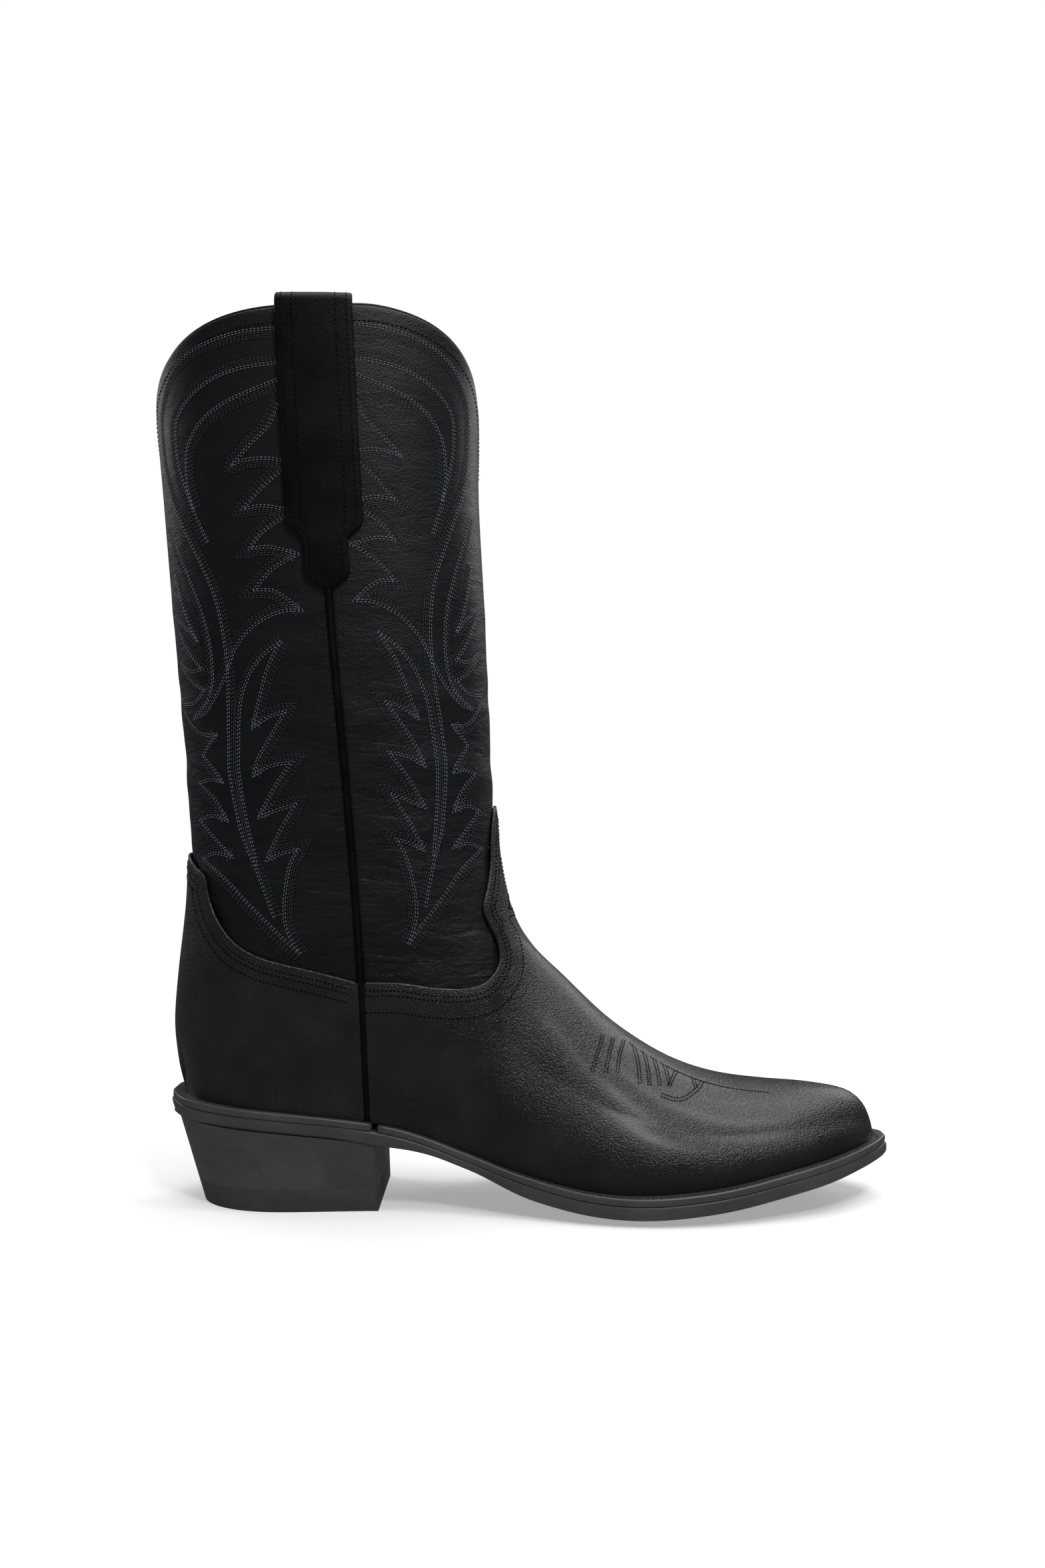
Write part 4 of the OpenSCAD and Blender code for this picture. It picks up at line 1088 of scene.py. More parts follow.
def build_welt():
    """Welt round the forepart and rand round the heel."""
    for name, x0, x1, way, slot in (("welt", BREAST_X + 2, TOE_TIP - 0.4, 1.0, "sole_leather"),
                                    ("heel_rand", BREAST_X - 2, HEEL_BACK + 0.4, -1.0, "sole_leather")):
        line, inner = sole_strip(x0, x1, 120, 0.76, -0.055)
        n = unit(np.gradient(line, axis=0))
        away = np.stack([n[:, 1], -n[:, 0]], axis=-1) * way
        line = line - 0.9 * away
        rows = np.stack([mix(line, inner, s) for s in np.linspace(0, 1, 6)], axis=1)
        z = sole_top(rows[..., 0])
        base = np.concatenate([rows, z[..., None]], axis=-1).reshape(-1, 3)
        faces, loop = grid_faces(*rows.shape[:2], way)
        up = np.tile([0.0, 0, 1], (len(base), 1))
        edge = [(0.35, 0.03), (0.65, 0.1), (0.85, 0.25), (0.9, 0.5), (0.88, 0.8), (0.7, 0.97)]
        points, walls = shell(base, up, faces, loop, -WELT_T, 0.0, edge)
        made = add_mesh(f"{name}_shown", points, walls, finish_of("edge"))
        follow(made, "foot", [name])


def inside_grid(count, lift):
    """Insole points inside the linings, at a height above the welt."""
    inset = -FOOT_LINED[0] + 0.6
    x = eased_range(FEATHER_BACK + inset + 4, FEATHER_TIP - inset - 3, count)
    k = np.linspace(-1, 1, 13)
    side = np.where(k < 0, OUTER, INNER)[None]
    more = np.minimum(1.6, 1 + 0.6 * ease((np.abs(x) - 120) / 20))[:, None]
    half = np.maximum(2, feather_half(x[:, None], side) - inset * more)
    xx, yy = np.broadcast_arrays(x[:, None], k[None] * half)
    return np.stack([xx, yy, sole_top(xx) + lift], axis=-1)


def build_footbed():
    """Insole and the sock liner on it."""
    for name, lift, thick, finish, slot in (("insole", 0.8, 3.0, "board", "sole_leather"),
                                            ("sock_liner", 4.0, 1.2, "lining", "lining_leather")):
        grid = inside_grid(80, lift)
        faces, loop = grid_faces(*grid.shape[:2])
        base = grid.reshape(-1, 3)
        up = np.tile([0.0, 0, 1], (len(base), 1))
        points, walls = shell(base, up, faces, loop, 0.0, thick, bevelled(thick, 0.3))
        made = add_mesh(f"{name}_shown", points, walls, finish_of(finish))
        follow(made, "foot", [name])


HEEL_TOP = 38.0
CAP_T = 9.4
WEDGE_LOW = 25.6


def heel_line(x_share, z, cols, inset):
    """Plan points of the heel at height z (one for each row), inset from its sides."""
    back = mix(-136.0, -147.2, z / HEEL_TOP) + inset
    breast = mix(-59.4, -61.0, z / HEEL_TOP) - inset
    x = mix(back, breast, x_share ** 2)
    k = np.linspace(-1, 1, cols)
    side = np.where(k < 0, OUTER, INNER)[None]
    wide = mix(30.0, plan(np.array(BREAST_X - 25), side), (z / HEEL_TOP)[:, None])
    shape = rounded(1 - (x - back) / 37)[:, None] * (1 - 0.06 * ease((x + 100) / 40))[:, None]
    half = np.maximum(1.8, wide * shape - inset)
    xx, yy, zz = np.broadcast_arrays(x[:, None], k[None] * half, z[:, None])
    return np.stack([xx, yy, zz], axis=-1)


def build_heel():
    """Cap, lifts and wedge of the stacked heel."""
    lift = (WEDGE_LOW - CAP_T) / 3
    layers = [("heel_cap", 0.0, CAP_T, "rubber", "heel_rubber", 0.12)]
    for n in range(3):
        low = CAP_T + n * lift
        layers.append((f"heel_lift_{n + 1}", low, low + lift, "edge", "sole_leather", 0.07))
    layers.append(("heel_wedge", WEDGE_LOW, None, "edge", "sole_leather", 0.07))
    share = np.linspace(0.01, 1, 70)
    for name, low, high, finish, slot, radius in layers:
        bottom = heel_line(share, np.full(len(share), low), 15, radius)
        if high is None:
            x = bottom[:, 7, 0]
            top_z = outsole_low(x, 1.0)
            for _ in range(4):
                x = heel_line(share, top_z, 15, radius)[:, 7, 0]
                top_z = outsole_low(x, 1.0)
        else:
            top_z = np.full(len(share), high)
        top = heel_line(share, top_z, 15, radius)
        faces, loop = grid_faces(*bottom.shape[:2])
        base, way = bottom.reshape(-1, 3), (top - bottom).reshape(-1, 3)
        points, walls = shell(base, way, faces, loop, 0.0, 1.0, bevelled(5.4, radius))
        made = add_mesh(f"{name}_shown", points, walls, finish_of(finish))
        follow(made, "foot", [name])


def dress_fittings():
    """Finishes for the parts that keep their own shape."""
    for node, finish in (("heel_nails", "steel"), ("cap_nails", "steel"), ("steel_shank", "steel"),
                         ("shank_pegs", "wood"), ("forepart_filler", "cork")):
        made = finish_of(finish)
        slots = NODES[node].material_slots
        if not slots:
            NODES[node].data.materials.append(made)
        for slot in slots:
            slot.material = made


# ---------------------------------------------------------------- stitches
def stitch_tree():
    """Geometry Nodes that set a rounded stitch at each step along lines, lying on the sheet."""
    tree = bpy.data.node_groups.new("stitches", "GeometryNodeTree")
    tree.interface.new_socket("Geometry", in_out="INPUT", socket_type="NodeSocketGeometry")
    for name, value in (("Pitch", 0.0013), ("Length", 0.0005), ("Width", 0.0002), ("Height", 0.00015)):
        made = tree.interface.new_socket(name, in_out="INPUT", socket_type="NodeSocketFloat")
        made.default_value = value
        made.subtype = "DISTANCE"
    seed = tree.interface.new_socket("Seed", in_out="INPUT", socket_type="NodeSocketInt")
    seed.default_value = 7
    tree.interface.new_socket("Thread", in_out="INPUT", socket_type="NodeSocketMaterial")
    tree.interface.new_socket("Geometry", in_out="OUTPUT", socket_type="NodeSocketGeometry")

    def node(kind, **settings):
        made = tree.nodes.new(kind)
        for key, value in settings.items():
            setattr(made, key, value)
        return made

    source = node("NodeGroupInput")
    end = node("NodeGroupOutput")
    curve = node("GeometryNodeMeshToCurve")
    steps = node("GeometryNodeResampleCurve", mode="LENGTH")
    place = node("GeometryNodeInstanceOnPoints")
    bead = node("GeometryNodeMeshIcoSphere")
    bead.inputs["Radius"].default_value = 1.0
    bead.inputs["Subdivisions"].default_value = 1
    shade = node("GeometryNodeSetShadeSmooth")
    tangent = node("GeometryNodeInputTangent")
    out = node("GeometryNodeInputNamedAttribute", data_type="FLOAT_VECTOR")
    out.inputs["Name"].default_value = "out"
    along = node("FunctionNodeAlignRotationToVector", axis="X")
    upright = node("FunctionNodeAlignRotationToVector", axis="Z", pivot_axis="X")
    size = node("ShaderNodeCombineXYZ")
    vary = node("FunctionNodeRandomValue", data_type="FLOAT")
    vary.inputs[2].default_value = 0.88
    vary.inputs[3].default_value = 1.1
    scaled = node("ShaderNodeMath", operation="MULTIPLY")
    real = node("GeometryNodeRealizeInstances")
    paint = node("GeometryNodeSetMaterial")
    link = tree.links.new
    link(source.outputs["Geometry"], curve.inputs["Mesh"])
    link(curve.outputs["Curve"], steps.inputs["Curve"])
    link(source.outputs["Pitch"], steps.inputs["Length"])
    link(steps.outputs["Curve"], place.inputs["Points"])
    link(bead.outputs["Mesh"], shade.inputs["Geometry"])
    link(shade.outputs["Geometry"], place.inputs["Instance"])
    link(tangent.outputs["Tangent"], along.inputs["Vector"])
    link(along.outputs["Rotation"], upright.inputs["Rotation"])
    link(out.outputs["Attribute"], upright.inputs["Vector"])
    link(upright.outputs["Rotation"], place.inputs["Rotation"])
    link(source.outputs["Seed"], vary.inputs["Seed"])
    link(source.outputs["Length"], scaled.inputs[0])
    link(vary.outputs[1], scaled.inputs[1])
    link(scaled.outputs[0], size.inputs["X"])
    link(source.outputs["Width"], size.inputs["Y"])
    link(source.outputs["Height"], size.inputs["Z"])
    link(size.outputs["Vector"], place.inputs["Scale"])
    link(place.outputs["Instances"], real.inputs["Geometry"])
    link(real.outputs["Geometry"], paint.inputs["Geometry"])
    link(source.outputs["Thread"], paint.inputs["Material"])
    link(paint.outputs["Geometry"], end.inputs["Geometry"])
    return tree


def sew(name, rows, pitch, size, material, body, nodes=()):
    """Stitches along rows of (points, normals) in millimetres; size is half length, width and height."""
    tree = bpy.data.node_groups.get("stitches") or stitch_tree()
    points, normals, edges = [], [], []
    for line, out in rows:
        first = sum(len(p) for p in points)
        points.append(line)
        normals.append(out)
        edges += [(first + i, first + i + 1) for i in range(len(line) - 1)]
    mesh = bpy.data.meshes.new(name + "_rows")
    mesh.from_pydata((np.vstack(points) * MM).tolist(), edges, [])
    out = mesh.attributes.new("out", "FLOAT_VECTOR", "POINT")
    out.data.foreach_set("vector", np.vstack(normals).astype(np.float32).ravel())
    path = bpy.data.objects.new(name + "_rows", mesh)
    bpy.context.scene.collection.objects.link(path)
    modifier = path.modifiers.new("stitches", "NODES")
    modifier.node_group = tree
    values = {"Pitch": pitch * MM, "Length": size[0] * MM, "Width": size[1] * MM, "Height": size[2] * MM,
              "Seed": 11, "Thread": material}
    for item in tree.interface.items_tree:
        if item.item_type == "SOCKET" and item.in_out == "INPUT" and item.name in values:
            modifier[item.identifier] = values[item.name]
    path.data.update()
    found = path.evaluated_get(bpy.context.evaluated_depsgraph_get())
    made_mesh = bpy.data.meshes.new_from_object(found)
    made_mesh.name = name
    path.modifiers.remove(modifier)
    bpy.data.objects.remove(path)
    made = bpy.data.objects.new(name, made_mesh)
    bpy.context.scene.collection.objects.link(made)
    if not made_mesh.polygons:
        raise RuntimeError(f"{name} has no stitches")
    follow(made, body, list(nodes))
    return made


def offset_line(line, distance):
    """A flat line moved sideways, its corners kept sharp."""
    way = np.diff(line, axis=0)
    way /= np.maximum(1e-9, np.linalg.norm(way, axis=1, keepdims=True))
    side = np.stack([-way[:, 1], way[:, 0]], axis=-1)
    before = np.vstack([side[:1], side])
    after = np.vstack([side, side[-1:]])
    both = before + after
    reach = np.maximum(0.35, 0.5 * (both ** 2).sum(axis=1, keepdims=True))
    return line + distance * both / reach


def seam_share(front):
    """Tables of length along the panel from the side seam, at each height of its grid."""
    surface = SHAFT[front]
    half = surface.points[100:][::-1]
    run = np.concatenate([np.zeros((1, half.shape[1])),
                          np.cumsum(np.linalg.norm(np.diff(half, axis=0), axis=-1), axis=0)])
    return surface.u[100:][::-1], surface.v, run


SHARES = {front: seam_share(front) for front in (True, False)}


def panel_width(front, z):
    """Length round the half panel from its side seam to its middle at height z."""
    _, heights, run = SHARES[front]
    return np.interp(z, heights, run[-1])


def column_at(front, w, z):
    """Column of the panel at length w from the side seam."""
    columns, heights, run = SHARES[front]
    j = np.clip(np.interp(z, heights, np.arange(len(heights))), 0, len(heights) - 1.001)
    j0 = j.astype(int)
    share = (j - j0)[:, None]
    rows = run[:, j0].T * (1 - share) + run[:, j0 + 1].T * share
    return np.array([np.interp(w[i], rows[i], columns) for i in range(len(w))])


def on_panel(front, side, flat, lift):
    """Points and normals on the shaft leather over (length from the seam, height)."""
    a = side * column_at(front, flat[:, 0], flat[:, 1])
    surface = SHAFT[front]
    off = MIDDLE[1] + lift + shaft_waves(a, flat[:, 1]) - shaft_sink(front, a, flat[:, 1])
    return surface.at(a, flat[:, 1], off), surface.out(a, flat[:, 1])


# The embroidery of half a panel: (share of the way from the side seam to the panel's middle, height).
# Each row is arcs that meet in sharp points; it is mirrored at the seams and at the middles.
ARCH = [[(0.15, 361), (0.31, 360), (0.44, 357.5), (0.56, 354), (0.68, 347), (0.76, 338), (0.79, 332),
         (0.80, 322), (0.79, 311), (0.735, 297), (0.675, 288), (0.585, 273), (0.515, 259), (0.485, 245),
         (0.478, 230), (0.493, 214), (0.515, 200), (0.529, 184), (0.515, 169), (0.485, 156),
         (0.438, 146), (0.377, 131), (0.356, 126)]]
INNER_ARCH = [[(0.15, 347.5), (0.30, 346), (0.43, 343), (0.56, 337), (0.65, 329), (0.665, 319),
               (0.655, 310), (0.61, 298), (0.575, 290), (0.52, 279)]]
LOW_ARCH = [[(0.15, 341), (0.28, 337), (0.40, 333), (0.51, 327), (0.59, 318), (0.61, 309), (0.61, 302),
             (0.585, 293)]]
FLAMES = [[(0.15, 332), (0.195, 324), (0.275, 317), (0.372, 308.5)],
          [(0.372, 308.5), (0.31, 310.5), (0.22, 311), (0.15, 310)],
          [(0.15, 306), (0.225, 300.5), (0.331, 291)],
          [(0.331, 291), (0.24, 292), (0.15, 290.5)],
          [(0.15, 287.5), (0.25, 281.5), (0.314, 275)],
          [(0.314, 275), (0.22, 275.5), (0.103, 272.5)],
          [(0.103, 272.5), (0.22, 266.5), (0.306, 258.5)],
          [(0.306, 258.5), (0.21, 257.5), (0.103, 250)],
          [(0.103, 250), (0.20, 249.5), (0.32, 244.5), (0.42, 236), (0.49, 225), (0.57, 215),
           (0.64, 209.5), (0.725, 207.5)]]
CROSSED = [[(0.79, 288), (0.745, 280), (0.665, 267), (0.60, 253.5), (0.565, 240), (0.56, 229),
            (0.575, 221), (0.62, 213.5), (0.725, 207.5)]]
STEM = [[(0.209, 237.5), (0.30, 232), (0.38, 223.5), (0.435, 212), (0.462, 199), (0.478, 184),
         (0.472, 171), (0.452, 158), (0.434, 147)]]
LEAF = [[(0.209, 237.5), (0.285, 226.5), (0.34, 214), (0.386, 203)],
        [(0.386, 203), (0.30, 207.5), (0.221, 209.5)],
        [(0.221, 209.5), (0.30, 200), (0.37, 191), (0.407, 183.5)],
        [(0.407, 183.5), (0.32, 187.5), (0.218, 189)],
        [(0.218, 189), (0.31, 179), (0.402, 166.5)],
        [(0.402, 166.5), (0.31, 169.5), (0.219, 172)],
        [(0.219, 172), (0.31, 160), (0.381, 149)],
        [(0.381, 149), (0.30, 152), (0.227, 153.5)],
        [(0.227, 153.5), (0.275, 146), (0.304, 133), (0.30, 122), (0.24, 111)]]
EDGE_FLAMES = [[(0.82, 250), (0.70, 244), (0.638, 239)],
               [(0.638, 239), (0.70, 249), (0.775, 267)]]
EDGE_LEAF = [[(0.81, 247), (0.72, 236), (0.626, 227.5)],
             [(0.626, 227.5), (0.71, 227), (0.80, 230.5)]]
EDGE_STEM = [[(0.785, 228), (0.70, 222), (0.625, 219)],
             [(0.625, 219), (0.70, 214), (0.81, 213.5)]]
EDGE_LOWER = [[(0.81, 210), (0.73, 203), (0.66, 200.5), (0.584, 200.5)],
              [(0.584, 200.5), (0.64, 196), (0.688, 192)],
              [(0.688, 192), (0.61, 185.5), (0.576, 181)],
              [(0.576, 181), (0.65, 182), (0.73, 180.5)],
              [(0.73, 180.5), (0.63, 173.5), (0.57, 165)],
              [(0.57, 165), (0.66, 167), (0.752, 165)],
              [(0.752, 165), (0.64, 156.5), (0.558, 150)],
              [(0.558, 150), (0.66, 151.5), (0.762, 149)],
              [(0.762, 149), (0.61, 141.5), (0.48, 131), (0.36, 121), (0.24, 111)]]
# Each figure with the side on which its tonal rows lie and how many there are
FIGURES = [(ARCH, -1, 3), (INNER_ARCH, 1, 3), (LOW_ARCH, -1, 4), (FLAMES[:2], 1, 3), (FLAMES[2:4], 1, 3),
           (FLAMES[4:], 1, 3), (CROSSED, 1, 2), (STEM, 1, 2), (LEAF, -1, 3), (EDGE_FLAMES, 1, 2),
           (EDGE_LEAF, -1, 2), (EDGE_STEM, -1, 2), (EDGE_LOWER, 1, 3)]
ROW_GAP = 0.92
# Stitches: half length, half width and height
LIGHT_STITCH = (0.56, 0.17, 0.16)
TONAL_STITCH = (0.58, 0.20, 0.15)
# Shade beads are not thread: dark beads laid between the embroidery rows as painted shade.
SHADE_BEAD = (0.52, 0.13, 0.06)
ORNAMENT_STITCH = (0.62, 0.28, 0.14)
EDGE_STITCH = (0.62, 0.36, 0.2)
TOPLINE_STITCH = (0.70, 0.32, 0.2)
STRAP_STITCH = (0.74, 0.26, 0.2)
WELT_STITCH = (1.15, 0.42, 0.36)
SHADE_BEAD_PITCH = 0.95
# How far the seam rows lie in from the edges
VAMP_ROWS = (2.6, 4.6, 11.5)
COUNTER_ROWS = (2.6, 4.6, 8.2)
STRAP_ROWS = (1.6, 6.0)
TOPLINE_DROP = 5.5
BACK_DROP = 4.0


def figure_line(front, arcs):
    """A figure of arcs as a flat line of lengths and heights, pointed where its arcs meet."""
    parts = []
    for arc in arcs:
        line = smooth(arc, 10)
        parts.append(line if not parts else line[1:])
    line = np.vstack(parts)
    if not front:
        line[:, 1] -= BACK_DROP * (1 - 0.45 * ease((line[:, 1] - 325) / 30))
    return np.stack([line[:, 0] * panel_width(front, line[:, 1]), line[:, 1]], axis=-1)


def build_embroidery():
    """Rows of light and tonal stitches on the four half panels, with dark beads of painted shade laid
    between the rows.
    """
    pitch = bpy.context.scene.boot_sizes.stitch_pitch / MM
    for front, end in ((True, "front"), (False, "back")):
        for side, word in ((OUTER, "outer"), (INNER, "inner")):
            light, tonal, drawn = [], [], []
            for arcs, way, count in FIGURES:
                line = figure_line(front, arcs)
                for k in (-0.5, 0.5):
                    light.append(on_panel(front, side, offset_line(line, k * ROW_GAP), 0.08))
                # Dark beads between the rows: painted shade where the leather dips between stitches.
                for k in range(-1, count + 1):
                    drawn.append(on_panel(front, side, offset_line(line, way * (1.0 + k) * ROW_GAP), 0.0))
                for k in range(count):
                    tonal.append(on_panel(front, side, offset_line(line, way * (1.5 + k) * ROW_GAP), 0.02))
            sew(f"embroidery_{end}_{word}", light, pitch, LIGHT_STITCH,
                finish_of("light_thread"), "bend")
            sew(f"tonal_rows_{end}_{word}", tonal, pitch * 1.05, TONAL_STITCH,
                finish_of("tonal_thread"), "bend")
            sew(f"drawn_rows_{end}_{word}", drawn, SHADE_BEAD_PITCH, SHADE_BEAD,
                finish_of("dark_thread_and_shade"), "bend")


def edge_rows(surface, line_a, line_t, distances, side):
    """Rows inside a piece's edge at distances from it, on its outer face."""
    rows = []
    line = surface.at(line_a, line_t)
    out = surface.out(line_a, line_t)
    tangent = unit(np.gradient(line, axis=0))
    inward = unit(np.cross(out, tangent))
    inward *= -np.sign(inward[len(inward) // 3, 2])
    for distance in distances:
        moved = line + inward * distance
        a, t = locate(surface, moved[:, 0], moved[:, 2], side)
        keep = moved[:, 1] * side > 0.8
        row = evened(np.stack([a[keep], t[keep]], axis=-1) * [100, 100], 0.8) / 100
        off = vamp_top_skive(distance)[1] + 0.08
        rows.append((surface.at(row[:, 0], row[:, 1], off), surface.out(row[:, 0], row[:, 1])))
    return rows


def strap_line(grid, normals, inset, way):
    """A row of stitches down a strap's face, inset from one edge and round the tab where it is narrow."""
    shown = int(np.argmax(grid[:, 0, 2])) + 1
    half = np.linalg.norm(grid[:shown, 0] - grid[:shown, -1], axis=1) / 2
    rows = np.nonzero(half > inset + 1.0)[0]
    place = (1 + way * (1 - inset / half[rows])) / 2 * (grid.shape[1] - 1)
    if inset > 3:
        rows, place = rows[half[rows] > 13], place[half[rows] > 13]
    left = np.floor(place).astype(int)
    share = (place - left)[:, None]
    line = mix(grid[rows, left], grid[rows, left + 1], share)
    out = unit(mix(normals[rows, left], normals[rows, left + 1], share))
    return line + out * (STRAP_THICK / 2 + 0.06), out


# Ornament on the vamp: curves over (length, height) in twin dark rows, the same on both sides of the ridge
VAMP_FIGURES = [[(28.3, 57.5), (30.2, 63), (33, 70)], [(34.1, 57.2), (35.2, 62.5), (37.4, 68.6)],
                [(38.8, 57), (39.8, 62), (42, 67)], [(45.5, 66.5), (47.6, 60), (48, 52.5)],
                [(50, 64), (51.6, 58), (52, 51.5)], [(54, 61.6), (55.6, 57), (56.4, 51)],
                [(58, 59.5), (59.6, 55.5), (60.6, 50.5)],
                [(60.6, 50.5), (64, 54), (68, 54), (71, 52), (72, 48.5)],
                [(57, 47.5), (64, 45.6), (71, 47.5), (77, 51)],
                [(60, 57.5), (70, 53.5), (80, 51.2), (92, 49.6), (103, 48.9)]]


def build_vamp_ornament():
    """Twin rows of dark stitches over the instep."""
    t = np.linspace(0, 1, 400)
    ridge = VAMP.at(np.zeros(400), t)
    ridge = ridge[np.argsort(ridge[:, 0])]
    for side, word in ((OUTER, "outer"), (INNER, "inner")):
        rows = []
        for arc in VAMP_FIGURES:
            for shift in (-0.55, 0.55):
                line = offset_line(smooth(arc, 10), shift)
                z = np.minimum(line[:, 1], np.interp(line[:, 0], ridge[:, 0], ridge[:, 2]) - 2.5)
                a, v = locate(VAMP, line[:, 0], z, side)
                rows.append((VAMP.at(a, v, VAMP_COVER + 0.08), VAMP.out(a, v)))
        sew(f"vamp_ornament_{word}", rows, 1.3, ORNAMENT_STITCH, finish_of("dark_thread_and_shade"), "bend")


def build_seam_stitches():
    """Dark rows along the vamp, counter, rim, straps and welt."""
    dark = finish_of("dark_thread_and_shade")
    for side, word in ((OUTER, "outer"), (INNER, "inner")):
        half = VAMP_SHAPE.half_top * [-side, 1]
        rows = edge_rows(VAMP, half[:, 0], half[:, 1], VAMP_ROWS, side)
        a = side * np.linspace(0.985, 0.02, 120)
        rows += edge_rows(COUNTER, a, np.ones_like(a), COUNTER_ROWS, side)
        sew(f"edge_rows_{word}", rows, 1.7, EDGE_STITCH, dark, "bend")
        for front, end in ((True, "front"), (False, "back")):
            a = side * np.linspace(0.97, 0.0, 140)
            z = rim_z(front, a) - TOPLINE_DROP
            rows = [(SHAFT[front].at(a, z, MIDDLE[1] + 0.08), SHAFT[front].out(a, z))]
            sew(f"topline_{end}_{word}", rows, 1.9, TOPLINE_STITCH, dark, "shaft")
        grid, normals = strap_grid(side, 63)
        rows = [strap_line(grid, normals, inset, way) for inset in STRAP_ROWS for way in (-1, 1)]
        sew(f"strap_rows_{word}", rows, 2.0, STRAP_STITCH, dark, "shaft")
    line, _ = sole_strip(-30.0, TOE_TIP - 2.5, 120, 0.8, 0)
    away = unit(np.gradient(line, axis=0))
    line = line - 1.9 * np.stack([away[:, 1], -away[:, 0]], axis=-1)
    points = np.concatenate([line, sole_top(line[:, :1]) + 0.1], axis=-1)
    up = np.tile([0.0, 0, 1], (len(points), 1))
    sew("welt_stitches", [(points, up)], 3.1, WELT_STITCH, finish_of("welt_thread_finish"), "foot",
        ["welt_thread"])


# ---------------------------------------------------------------- studio
FOCUS = 34.5


def studio_world(strength):
    """White paper all round for the eye, and a dim room for what the leather reflects."""
    world = bpy.data.worlds.new("studio")
    world.use_nodes = True
    tree = world.node_tree
    tree.nodes.clear()
    paper = tree.nodes.new("ShaderNodeBackground")
    room = tree.nodes.new("ShaderNodeBackground")
    paper.inputs[0].default_value = (1, 1, 1, 1)
    paper.inputs[1].default_value = 1.0
    room.inputs[0].default_value = (0.93, 0.96, 1.0, 1)
    room.inputs[1].default_value = strength
    rays = tree.nodes.new("ShaderNodeLightPath")
    both = tree.nodes.new("ShaderNodeMixShader")
    end = tree.nodes.new("ShaderNodeOutputWorld")
    tree.links.new(rays.outputs["Is Camera Ray"], both.inputs[0])
    tree.links.new(room.outputs[0], both.inputs[1])
    tree.links.new(paper.outputs[0], both.inputs[2])
    tree.links.new(both.outputs[0], end.inputs[0])
    return world


def build_stage():
    """Floor, backdrop light, lamps and camera."""
    scene = bpy.context.scene
    sizes = scene.boot_sizes
    half = 4.0
    mesh = bpy.data.meshes.new("floor")
    corners = [(-half, -half, 0), (half, -half, 0), (half, half, 0), (-half, half, 0)]
    mesh.from_pydata(corners, [], [(0, 1, 2, 3)])
    floor = bpy.data.objects.new("floor", mesh)
    scene.collection.objects.link(floor)
    f = Finish("floor")
    away = f.node("ShaderNodeVectorMath", {"operation": "LENGTH"}, {0: f.place}, "Value")
    glow = tuple([sizes.floor_glow] * 3)
    mesh.materials.append(f.surface(
        Base_Color=f.blended(f.between(away, 0.4, 1.3), (0.82, 0.82, 0.82), (0.0, 0.0, 0.0)), Roughness=0.8,
        Emission_Color=f.blended(f.between(away, 0.4, 1.3), glow, (1.0, 1.0, 1.0)), Emission_Strength=1.0))
    floor.visible_glossy = False
    scene.world = studio_world(sizes.surround)
    for name, place, aim, size, power in (
            ("top", (0.1, 0.1, 2.0), (0, 0, 0.1), 2.0, 34.0),
            ("back_right", (0.9, 1.0, 0.9), (0, 0, 0.15), 0.7, 5.0),
            ("back_left", (-1.1, 0.7, 0.8), (0, 0, 0.2), 0.6, 3.0),
            ("front_right", (0.64, -0.26, 1.19), (0.085, -0.03, 0.04), 0.22, 1.8),
            ("front_top", (0.32, -0.81, 1.05), (0.045, -0.03, 0.04), 0.22, 4.5)):
        light = bpy.data.lights.new(name, "AREA")
        light.shape = "SQUARE"
        light.size = size
        light.energy = power * sizes.lamps
        lamp = bpy.data.objects.new(name, light)
        lamp.location = place
        lamp.rotation_mode = "QUATERNION"
        lamp.rotation_quaternion = (Vector(aim) - Vector(place)).to_track_quat("-Z", "Y")
        scene.collection.objects.link(lamp)
    lens = bpy.data.cameras.new("camera")
    lens.sensor_width = 36.0
    lens.sensor_fit = "AUTO"
    lens.lens = FOCUS
    lens.clip_start = 0.01
    camera = bpy.data.objects.new("camera", lens)
    camera.location = (0, -0.648, 0.1762)
    camera.rotation_euler = (math.pi / 2, 0, 0)
    scene.collection.objects.link(camera)
    scene.camera = camera
    scene.view_settings.view_transform = "Standard"


# ---------------------------------------------------------------- the add-on
class BootSizes(bpy.types.PropertyGroup):
    """Sizes and strengths."""

    stitch_pitch: FloatProperty(name="Stitch pitch", description="From one embroidery stitch to the next",
                                default=0.0016, min=0.0008, max=0.004, unit="LENGTH")
    surround: FloatProperty(name="Surround", description="Strength of the light from all round",
                            default=0.085)
    floor_glow: FloatProperty(name="Floor glow", description="How much the paper floor shines",
                              default=0.35)
    lamps: FloatProperty(name="Lamps", description="Strength of the studio lamps", default=1.0)


def colour(name, words, value):
    """A colour property."""
    return FloatVectorProperty(name=name, description=words, subtype="COLOR", default=value, min=0, max=1)


